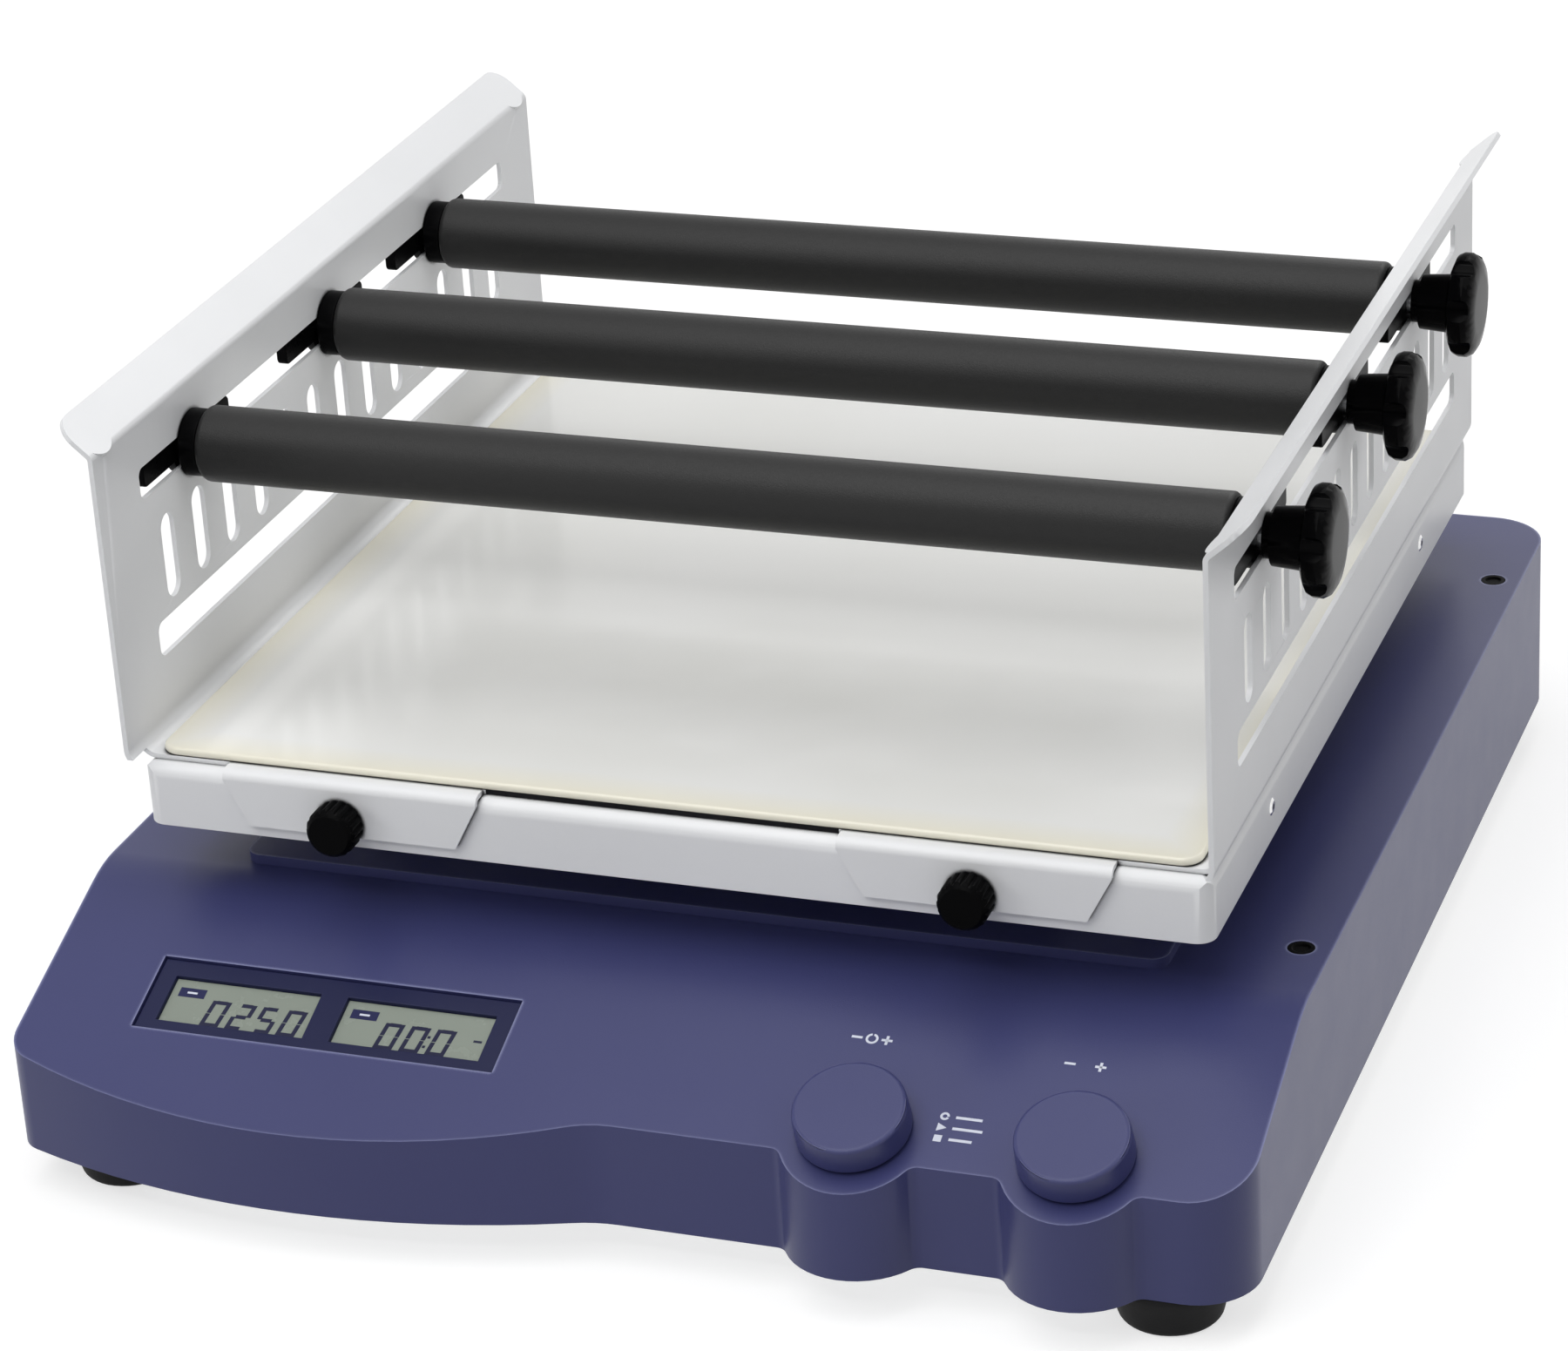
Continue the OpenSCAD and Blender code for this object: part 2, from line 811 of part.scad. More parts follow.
module power_inlet() {
  color([0.11, 0.11, 0.12])
  at_inlet()
    difference() {
      union() {
        translate([0, -inlet_flange_t / 2, 0])
          cube([inlet_w, inlet_flange_t, inlet_h], center = true);
        translate([0, -inlet_depth / 2 - 0.5, 0])
          cube([inlet_body_w, inlet_depth - 1, inlet_body_h], center = true);
      }
      difference() {
        translate([-10.5, -9, 0]) cube([24, 22, 16.5], center = true);
        for (p = [[-17.5, -2], [-10.5, 3], [-3.5, -2]])
          translate([p[0], -13.75, p[1]]) cube([2, 13.5, 4], center = true);
      }
      translate([rocker_x, -8, 0]) cube([rocker_slot_w, 16.6, rocker_slot_h], center = true);
      translate([rocker_x, -rocker_sink, 0])
        rotate([0, 90, 0]) cylinder(d = rocker_pin_d + 2 * run_fit, h = rocker_slot_w + 2, center = true);
    }
}

module power_rocker() {
  color([0.16, 0.16, 0.17])
  at_inlet()
    translate([rocker_x, -rocker_sink, 0]) rotate([rocker_tilt, 0, 0]) {
      intersection() {
        rotate([0, 90, 0]) cylinder(r = rocker_r, h = rocker_w, center = true);
        along_x(rocker_w) polygon([
          [-5, -9.4], [3.4, -9.4], [1.8, 0], [3.4, 9.4], [-5, 9.4]
        ]);
      }
      rotate([0, 90, 0]) cylinder(d = rocker_pin_d, h = rocker_slot_w + 1.4, center = true);
    }
}

// Drive

module motor_case() {
  color([0.24, 0.25, 0.27])
  translate([0, motor_y, 0])
    difference() {
      translate([0, 0, plate_top]) cylinder(d = motor_d, h = motor_top - plate_top);
      translate([0, 0, plate_top + 4]) cylinder(d = motor_d - 12, h = 24);
      translate([0, 0, plate_top + 1]) cylinder(d = 8 + 2 * run_fit, h = 60);
    }
}

module motor_shaft() {
  color([0.70, 0.71, 0.73])
  translate([0, motor_y, 0]) {
    translate([0, 0, plate_top + 1.5]) cylinder(d = 8, h = pulley_z + pulley_t + 1 - plate_top - 1.5);
    translate([0, 0, plate_top + 5]) cylinder(d = motor_d - 20, h = 22);
  }
}

module pulley(belt_d, bore_d) {
  difference() {
    union() {
      cylinder(d = belt_d, h = pulley_t);
      cylinder(d = belt_d + 5, h = 1.2);
      translate([0, 0, pulley_t - 1.2]) cylinder(d = belt_d + 5, h = 1.2);
    }
    translate([0, 0, -1]) cylinder(d = bore_d + 0.02, h = pulley_t + 2);
  }
}

module motor_pulley() {
  color([0.72, 0.73, 0.75])
  translate([0, motor_y, pulley_z]) pulley(driver_d, 8);
}

module driven_pulley() {
  color([0.72, 0.73, 0.75])
  translate([0, drive_y, pulley_z])
    difference() {
      pulley(driven_d, spindle_d);
      for (a = [0 : 60 : 300])
        rotate([0, 0, a]) translate([driven_d / 3.6, 0, -1]) cylinder(d = 16, h = pulley_t + 2);
    }
}

module belt_loop(d) {
  ra = driven_d / 2 + d;
  rb = driver_d / 2 + d;
  s = (ra - rb) / motor_dy;
  c = sqrt(1 - s * s);
  circle(ra);
  translate([0, motor_dy]) circle(rb);
  polygon([
    [ra * c, ra * s],
    [rb * c, motor_dy + rb * s],
    [-rb * c, motor_dy + rb * s],
    [-ra * c, ra * s]
  ]);
}

module drive_belt() {
  color([0.12, 0.12, 0.12])
  translate([0, drive_y, pulley_z + (pulley_t - belt_w) / 2])
    linear_extrude(belt_w) difference() {
      belt_loop(set_gap + belt_t);
      belt_loop(set_gap);
    }
}

module spindle_block() {
  color([0.55, 0.56, 0.58])
  translate([0, drive_y, plate_top])
    difference() {
      union() {
        cylinder(d = block_d, h = block_h);
        linear_extrude(block_foot_t) rounded(block_foot, block_foot, 8);
        for (a = [45 : 90 : 315])
          rotate([0, 0, a]) translate([25, -2.5, 0]) cube([18, 5, 22]);
      }
      translate([0, 0, -1]) cylinder(d = spindle_d + 6, h = 40);
      translate([0, 0, 3]) cylinder(d = spindle_bearing_d, h = bearing_w);
      translate([0, 0, block_h - bearing_w]) cylinder(d = spindle_bearing_d, h = bearing_w + 1);
    }
}

module spindle_bearings() {
  color([0.80, 0.81, 0.83])
  for (z = [plate_top + 3, plate_top + block_h - bearing_w])
    translate([0, drive_y, z])
      ring(spindle_bearing_d, spindle_d + 2 * run_fit, bearing_w);
}

module spindle() {
  color([0.72, 0.73, 0.75])
  translate([0, drive_y, 0]) {
    translate([0, 0, spindle_low]) cylinder(d = spindle_d, h = web_z - spindle_low + 1);
    translate([0, 0, web_z]) cylinder(d = spindle_flange_d, h = web_t);
    translate([0, throw, web_z + 1]) cylinder(d = crank_pin_d, h = pin_top - web_z - 1);
  }
}

module counterweight() {
  color([0.45, 0.46, 0.48])
  translate([0, drive_y, web_z])
    linear_extrude(web_t) difference() {
      union() {
        circle(28);
        intersection() {
          circle(weight_r);
          translate([-weight_r - 1, -weight_r - 1]) square([2 * weight_r + 2, weight_r + 1]);
        }
      }
      circle(spindle_flange_d / 2 + 0.01);
    }
}

module idler_blocks() {
  h = idler_block_top - plate_top;
  color([0.55, 0.56, 0.58])
  at_idlers()
    translate([0, 0, plate_top])
      difference() {
        union() {
          cylinder(d = idler_block_d, h = h);
          linear_extrude(5) rounded(idler_block_foot, idler_block_foot, 6);
        }
        translate([0, 0, 5]) cylinder(d = idler_shaft_d + 4, h = h);
        translate([0, 0, 8]) cylinder(d = idler_bearing_d, h = idler_bearing_w);
        translate([0, 0, h - idler_bearing_w]) cylinder(d = idler_bearing_d, h = idler_bearing_w + 1);
      }
}

module idler_bearings() {
  color([0.80, 0.81, 0.83])
  at_idlers()
    for (z = [plate_top + 8, idler_block_top - idler_bearing_w])
      translate([0, 0, z])
        ring(idler_bearing_d, idler_shaft_d + 2 * run_fit, idler_bearing_w);
}

module idler_crank(sx, sy) {
  color([0.68, 0.69, 0.71])
  translate([sx * idler_x, drive_y + sy * idler_dy, 0]) {
    translate([0, 0, plate_top + 7]) cylinder(d = idler_shaft_d, h = web_z - plate_top - 6);
    translate([0, 0, web_z]) cylinder(d = idler_flange_d, h = web_t);
    translate([0, throw, web_z + 1]) cylinder(d = idler_pin_d, h = pin_top - web_z - 1);
  }
}

module idler_crank_1() { idler_crank(-1, -1); }
module idler_crank_2() { idler_crank(1, -1); }
module idler_crank_3() { idler_crank(-1, 1); }
module idler_crank_4() { idler_crank(1, 1); }

// Platform

module tray_form(d, low) {
  w = tray_w - 2 * d;
  l = tray_l - 2 * d;
  r = tray_edge_r - d;
  top = tray_top - d;
  translate([0, tray_y, 0])
    intersection() {
      translate([0, 0, low]) linear_extrude(tray_top - low) rounded(w, l, tray_corner_r - d);
      along_x(w + 20) {
        translate([-l / 2, 0]) square([l, top - r]);
        translate([-l / 2 + r, 0]) square([l - 2 * r, top]);
        for (s = [-1, 1]) translate([s * (l / 2 - r), top - r]) circle(r);
      }
      along_y(l + 20) {
        translate([-w / 2, 0]) square([w, top - r]);
        translate([-w / 2 + r, 0]) square([w - 2 * r, top]);
        for (s = [-1, 1]) translate([s * (w / 2 - r), top - r]) circle(r);
      }
    }
}

module at_skirt_screws() {
  for (s = [-1, 1], y = [skirt_screw_front, skirt_screw_rear])
    translate([s * tray_w / 2, tray_y + y, skirt_screw_z])
      rotate([0, s * 90, 0]) children();
}

module at_thumbs() {
  for (x = [thumb_left_x, thumb_right_x])
    translate([x, skirt_y, thumb_z]) rotate([90, 0, 0]) children();
}

module platform_tray() {
  color([0.86, 0.87, 0.88])
  difference() {
    tray_form(0, tray_bottom);
    tray_form(tray_t, tray_bottom - 1);
    at_skirt_screws()
      translate([0, 0, -skirt_head_h])
        cylinder(d1 = skirt_screw_d, d2 = skirt_head_d, h = skirt_head_h + 0.001);
    at_skirt_screws()
      cylinder(d = skirt_screw_d, h = 3 * tray_t, center = true);
    at_thumbs()
      cylinder(d = thumb_thread_d + 2 * set_gap, h = 12, center = true);
  }
}

module tray_screws() {
  color([0.88, 0.89, 0.90])
  at_skirt_screws()
    difference() {
      union() {
        translate([0, 0, -skirt_head_h])
          cylinder(d1 = skirt_screw_d, d2 = skirt_head_d, h = skirt_head_h);
        cylinder(d1 = skirt_head_d - 0.2, d2 = skirt_head_d - 2, h = 0.5);
        translate([0, 0, -12]) cylinder(d = skirt_screw_d, h = 12);
      }
      translate([0, 0, -0.8]) cylinder(d = 1.8, h = 3, $fn = 6);
    }
}

module carrier_frame() {
  inner_w = tray_w - 2 * tray_t - 0.02;
  lug_low = skirt_screw_z - 5;
  color([0.62, 0.63, 0.65])
  difference() {
    union() {
      translate([0, tray_y, carrier_low])
        linear_extrude(carrier_t) difference() {
          square([carrier_w, carrier_l], center = true);
          for (x = [-78, -40, 40, 78], s = [-1, 1])
            translate([x, s * 55]) rounded(28, 60, 8);
          for (s = [-1, 1])
            translate([s * 132, 0]) rounded(22, 120, 6);
        }
      translate([0, tray_y, boss_low]) cylinder(d = crank_bearing_d + 10, h = carrier_low - boss_low + 1);
      at_idlers(throw)
        translate([0, 0, boss_low]) cylinder(d = pin_bearing_d + 8, h = carrier_low - boss_low + 1);
      for (s = [-1, 1], y = [skirt_screw_front, skirt_screw_rear])
        translate([s * (inner_w - lug_w) / 2, tray_y + y, (lug_low + lug_top) / 2])
          cube([lug_w, lug_l, lug_top - lug_low], center = true);
    }
    translate([0, tray_y, boss_low - 1])
      cylinder(d = crank_bearing_d, h = bearing_seat_z + crank_bearing_w - boss_low + 1);
    translate([0, tray_y, boss_low]) cylinder(d = crank_pin_d + 4, h = 30);
    at_idlers(throw)
      translate([0, 0, boss_low - 1])
        cylinder(d = pin_bearing_d, h = bearing_seat_z + pin_bearing_w - boss_low + 1);
    at_idlers(throw)
      translate([0, 0, boss_low]) cylinder(d = idler_pin_d + 4, h = 30);
    at_skirt_screws()
      translate([0, 0, -13]) cylinder(d = skirt_screw_d + 2 * run_fit, h = 14);
  }
}

module crank_bearing() {
  color([0.80, 0.81, 0.83])
  translate([0, tray_y, bearing_seat_z])
    ring(crank_bearing_d, crank_pin_d + 2 * run_fit, crank_bearing_w);
}

module pin_bearings() {
  color([0.80, 0.81, 0.83])
  at_idlers(throw)
    translate([0, 0, bearing_seat_z])
      ring(pin_bearing_d, idler_pin_d + 2 * run_fit, pin_bearing_w);
}

module thumb_nuts() {
  color([0.72, 0.73, 0.75])
  at_thumbs()
    translate([0, 0, -tray_t - 6])
      difference() {
        cylinder(d = 12, h = 6, $fn = 6);
        translate([0, 0, -1]) cylinder(d = thumb_thread_d + 2 * run_fit, h = 8);
      }
}

// Cradle: the bent sheet is drawn as its section, then the openings are cut

module cradle_section() {
  bend_c = wall_out - cradle_bend_r;
  lip_r = cradle_t;
  lip_c = wall_out + lip_r;
  lip_cz = lip_z - lip_r * tan(lip_angle / 2);
  for (s = [-1, 1]) scale([s, 1]) {
    translate([-0.01, tray_top]) square([bend_c + 0.01, cradle_t]);
    difference() {
      intersection() {
        translate([bend_c, tray_top + cradle_bend_r]) circle(cradle_bend_r);
        translate([bend_c, tray_top]) square(cradle_bend_r);
      }
      translate([bend_c, tray_top + cradle_bend_r]) circle(cradle_bend_r - cradle_t);
    }
    translate([wall_in, tray_top + cradle_bend_r])
      square([cradle_t, lip_cz - tray_top - cradle_bend_r]);
    difference() {
      intersection() {
        translate([lip_c, lip_cz]) circle(lip_r + cradle_t);
        translate([lip_c, lip_cz])
          polygon([[0, 0], [-9, 0], [-9, 9], [-9 * cos(lip_angle), 9 * sin(lip_angle)]]);
      }
      translate([lip_c, lip_cz]) circle(lip_r);
    }
  }
}

module cradle_lip(s) {
  l = cradle_rear - cradle_front;
  lip_r = cradle_t;
  lip_cz = lip_z - lip_r * tan(lip_angle / 2);
  flat = lip_l - lip_r * tan(lip_angle / 2);
  scale([s, 1, 1])
    translate([wall_out + lip_r, (cradle_front + cradle_rear) / 2, lip_cz])
      rotate([0, lip_angle, 0])
        translate([-lip_r - cradle_t, 0, 0])
          rotate([0, 90, 0]) rotate([0, 0, 180])
            linear_extrude(cradle_t) {
              translate([-0.01, -l / 2]) square([flat - lip_corner_r + 0.01, l]);
              translate([0, -l / 2 + lip_corner_r]) square([flat, l - 2 * lip_corner_r]);
              for (e = [-1, 1])
                translate([flat - lip_corner_r, e * (l / 2 - lip_corner_r)]) circle(lip_corner_r);
            }
}

module tab_outline() {
  top = cradle_floor - tab_bend_r;
  low = tray_top - tab_drop;
  polygon([
    [tab_in, top],
    [tab_out, top],
    [tab_out - tab_slant, low],
    [tab_in + tab_slant, low]
  ]);
}

module front_tab(s) {
  bend_z = cradle_floor - tab_bend_r;
  bend_y = tab_face + tab_bend_r;
  scale([s, 1, 1]) {
    translate([tab_in, bend_y, tray_top])
      cube([tab_out - tab_in, tray_y + floor_front + 1 - bend_y, cradle_t]);
    translate([0, tab_face + cradle_t / 2, 0]) along_y(cradle_t) tab_outline();
    translate([(tab_in + tab_out) / 2, bend_y, bend_z])
      along_x(tab_out - tab_in) difference() {
        intersection() {
          circle(tab_bend_r);
          translate([-tab_bend_r, 0]) square(tab_bend_r);
        }
        circle(tab_bend_r - cradle_t);
      }
  }
}

module wall_openings() {
  mid = (cradle_front + cradle_rear) / 2;
  along_x(cradle_w + 10) {
    for (i = [0 : slot_count - 1])
      translate([mid + (i - (slot_count - 1) / 2) * slot_pitch, (slot_low + slot_high) / 2])
        rounded(slot_w, slot_high - slot_low, slot_w / 2 - 0.01);
    translate([mid, low_window_z + low_window_h / 2])
      rounded(window_l - 1.5, low_window_h, 3);
    translate([mid, bar_z]) rounded(window_l, bar_slot_h, 2.5);
  }
}

module cradle() {
  l = cradle_rear - cradle_front;
  mid = (cradle_front + cradle_rear) / 2;
  color([0.90, 0.91, 0.92])
  difference() {
    union() {
      translate([0, tray_y, 0]) difference() {
        translate([0, mid, 0]) along_y(l) cradle_section();
        translate([-wall_out - 1, cradle_front - 1, tray_top - 1])
          cube([cradle_w + 2, floor_front - cradle_front + 1, bend_relief + 1]);
      }
      translate([0, tray_y, 0]) { cradle_lip(-1); cradle_lip(1); }
      front_tab(-1);
      front_tab(1);
    }
    translate([0, tray_y, 0]) wall_openings();
    at_thumbs() cylinder(d = thumb_thread_d + 2 * set_gap, h = 12, center = true);
  }
}

module mat() {
  color([0.95, 0.95, 0.90])
  translate([0, tray_y + (mat_front + mat_rear) / 2, cradle_floor])
    linear_extrude(mat_t) rounded(mat_w, mat_rear - mat_front, mat_r);
}

module thumb_screw(x) {
  r = thumb_d / 2;
  color([0.08, 0.08, 0.09])
  translate([x, tab_face, thumb_z]) rotate([90, 0, 0]) {
    intersection() {
      translate([0, 0, 0.05]) linear_extrude(thumb_l) {
        circle(r - 0.7);
        for (a = [0 : 20 : 340])
          rotate(a) translate([r - 1, 0]) circle(1, $fn = 24);
      }
      rotate_extrude() polygon([
        [0, 0],
        [r - 1, 0],
        [r, 1.2],
        [r, thumb_l - 2],
        [r - 0.6, thumb_l - 0.8],
        [r - 1.6, thumb_l + 0.05],
        [0, thumb_l + 0.05]
      ]);
    }
    translate([0, 0, -12]) cylinder(d = thumb_thread_d, h = 13);
  }
}

module thumb_screw_left() { thumb_screw(thumb_left_x); }
module thumb_screw_right() { thumb_screw(thumb_right_x); }

// Bars

module at_bar(y, x = 0) {
  translate([x, tray_y + y, bar_z]) rotate([0, 90, 0]) children();
}

module rod(y) {
  low = guide_left + guide_t + 2;
  color([0.75, 0.76, 0.78])
  at_bar(y, -low) cylinder(d = rod_d, h = low + star_head);
}

module sleeve(y) {
  l = sleeve_left + sleeve_right;
  r = sleeve_d / 2;
  color([0.09, 0.09, 0.10])
  at_bar(y, -sleeve_left)
    rotate_extrude() {
      translate([rod_d / 2 + 0.02, 0]) square([r - rod_d / 2 - 0.02 - sleeve_end_r, l]);
      translate([r / 2, sleeve_end_r]) square([r / 2, l - 2 * sleeve_end_r]);
      for (h = [sleeve_end_r, l - sleeve_end_r])
        translate([r - sleeve_end_r, h]) circle(sleeve_end_r, $fn = 48);
    }
}

module caps(y) {
  color([0.12, 0.12, 0.13]) {
    at_bar(y, -sleeve_left - cap_left) ring(cap_d, rod_d + 0.04, cap_left);
    at_bar(y, sleeve_right) ring(cap_d, rod_d + 0.04, cap_right);
  }
}

module guide_strip() {
  linear_extrude(guide_t) {
    rounded(guide_h, guide_l, 2);
    circle(d = guide_boss_d);
  }
}

module guides(y) {
  color([0.07, 0.07, 0.08]) {
    difference() {
      union() {
        at_bar(y, -guide_left - guide_t) guide_strip();
        at_bar(y, -guide_left - guide_t - nut_t) cylinder(d = nut_d, h = nut_t + 1);
      }
      at_bar(y, -guide_left - guide_t - 2) cylinder(d = rod_d + 0.04, h = 20);
    }
    difference() {
      at_bar(y, guide_right) guide_strip();
      at_bar(y, guide_right - 1) cylinder(d = rod_d + 0.04, h = 20);
    }
  }
}

module star_head() {
  r = star_d / 2;
  intersection() {
    linear_extrude(star_t) difference() {
      circle(r);
      for (i = [0 : star_lobes - 1])
        rotate(i * 360 / star_lobes) translate([r + 2.4, 0]) circle(4.4);
    }
    rotate_extrude() polygon([
      [0, 0],
      [r - 2.6, 0],
      [r - 0.8, 0.9],
      [r, 2.6],
      [r, star_t * 0.6],
      [r - 0.9, star_t * 0.78],
      [r - 3, star_t * 0.92],
      [r - 7, star_t],
      [0, star_t]
    ]);
  }
}

module clamp_knob(y) {
  washer = wall_out + 0.1;
  neck = washer + star_washer_t;
  color([0.06, 0.06, 0.07])
  difference() {
    union() {
      at_bar(y, washer) cylinder(d = star_washer_d, h = star_washer_t + 1);
      at_bar(y, neck) cylinder(d1 = star_neck_d - 1.6, d2 = star_neck_d, h = star_neck_l + 0.5);
      at_bar(y, star_head) star_head();
    }
    at_bar(y, washer - 1) cylinder(d = rod_d + 2 * run_fit, h = star_head - washer + 1.3);
  }
}

module front_rod() { rod(bar_front_y); }
module front_sleeve() { sleeve(bar_front_y); }
module front_caps() { caps(bar_front_y); }
module front_guides() { guides(bar_front_y); }
module front_clamp_knob() { clamp_knob(bar_front_y); }
module middle_rod() { rod(bar_middle_y); }
module middle_sleeve() { sleeve(bar_middle_y); }
module middle_caps() { caps(bar_middle_y); }
module middle_guides() { guides(bar_middle_y); }
module middle_clamp_knob() { clamp_knob(bar_middle_y); }
module rear_rod() { rod(bar_rear_y); }
module rear_sleeve() { sleeve(bar_rear_y); }
module rear_caps() { caps(bar_rear_y); }
module rear_guides() { guides(bar_rear_y); }
module rear_clamp_knob() { clamp_knob(bar_rear_y); }

housing();
base_plate();
feet();
foot_screws();
case_screws();
hole_plugs();
display_bezel();
lcd_modules();
panel_board();
encoders();
main_board();
power_supply();
power_inlet();
motor_case();
spindle_block();
spindle_bearings();
idler_blocks();
idler_bearings();
drive_belt();
spindle();
counterweight();
driven_pulley();
idler_crank_1();
idler_crank_2();
idler_crank_3();
idler_crank_4();
motor_shaft();
motor_pulley();
platform_tray();
carrier_frame();
crank_bearing();
pin_bearings();
tray_screws();
cradle();
mat();
thumb_nuts();
front_rod();
front_sleeve();
front_caps();
front_guides();
front_clamp_knob();
middle_rod();
middle_sleeve();
middle_caps();
middle_guides();
middle_clamp_knob();
rear_rod();
rear_sleeve();
rear_caps();
rear_guides();
rear_clamp_knob();
thumb_screw_left();
thumb_screw_right();
speed_plunger();
speed_shaft();
speed_knob();
time_plunger();
time_shaft();
time_knob();
power_rocker();
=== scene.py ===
# Orbital shaker with a bar cradle: materials, fine detail, light and camera.
# Metres, in the frame of the solids: +Z up, +X to the right, +Y to the rear.
import json
import math
import bmesh
import bpy
from mathutils import Matrix, Vector


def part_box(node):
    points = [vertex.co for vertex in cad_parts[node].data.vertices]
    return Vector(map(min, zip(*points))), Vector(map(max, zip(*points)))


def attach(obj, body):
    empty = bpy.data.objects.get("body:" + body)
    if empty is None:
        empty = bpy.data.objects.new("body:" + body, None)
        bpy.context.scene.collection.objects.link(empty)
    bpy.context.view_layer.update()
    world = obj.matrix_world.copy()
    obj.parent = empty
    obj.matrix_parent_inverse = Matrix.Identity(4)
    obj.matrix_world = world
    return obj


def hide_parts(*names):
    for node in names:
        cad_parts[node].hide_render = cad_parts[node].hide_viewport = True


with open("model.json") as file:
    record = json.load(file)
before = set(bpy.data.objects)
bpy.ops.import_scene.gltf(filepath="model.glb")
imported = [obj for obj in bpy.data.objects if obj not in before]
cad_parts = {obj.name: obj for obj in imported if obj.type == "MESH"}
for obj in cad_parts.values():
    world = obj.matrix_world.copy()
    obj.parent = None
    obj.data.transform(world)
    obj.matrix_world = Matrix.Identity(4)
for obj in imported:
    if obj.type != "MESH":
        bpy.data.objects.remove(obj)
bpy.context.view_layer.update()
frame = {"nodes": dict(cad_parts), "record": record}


MM = 0.001

# Camera: where the photograph was taken from
CAMERA_AT = Vector((474.5, -1268.6, 729.7)) * MM
CAMERA_YAW = math.radians(20.966)
CAMERA_PITCH = math.radians(-25.113)
CAMERA_ROLL = math.radians(-3.51)
CAMERA_LENS = 111.37
SENSOR_WIDTH = 36.0
CLIP_START = 0.05


def add_camera():
    """The scene's camera, aimed by yaw, pitch and roll."""
    data = bpy.data.cameras.new("camera")
    data.lens = CAMERA_LENS
    data.sensor_width = SENSOR_WIDTH
    data.sensor_fit = "HORIZONTAL"
    data.clip_start = CLIP_START
    camera = bpy.data.objects.new("camera", data)
    bpy.context.scene.collection.objects.link(camera)
    sin_yaw, cos_yaw = math.sin(CAMERA_YAW), math.cos(CAMERA_YAW)
    level = math.cos(CAMERA_PITCH)
    forward = Vector((-sin_yaw * level, cos_yaw * level, math.sin(CAMERA_PITCH)))
    right = Vector((cos_yaw, sin_yaw, 0))
    up = right.cross(forward)
    side = math.cos(CAMERA_ROLL) * right + math.sin(CAMERA_ROLL) * up
    top = math.cos(CAMERA_ROLL) * up - math.sin(CAMERA_ROLL) * right
    turn = Matrix((side, top, -forward)).transposed().to_4x4()
    camera.matrix_world = Matrix.Translation(CAMERA_AT) @ turn
    bpy.context.scene.camera = camera


add_camera()


# Node materials

AO_SAMPLES = 6

# How far a bump at full strength raises the surface, in metres
FINE_BUMP = 0.0004
WAVE_BUMP = 0.002


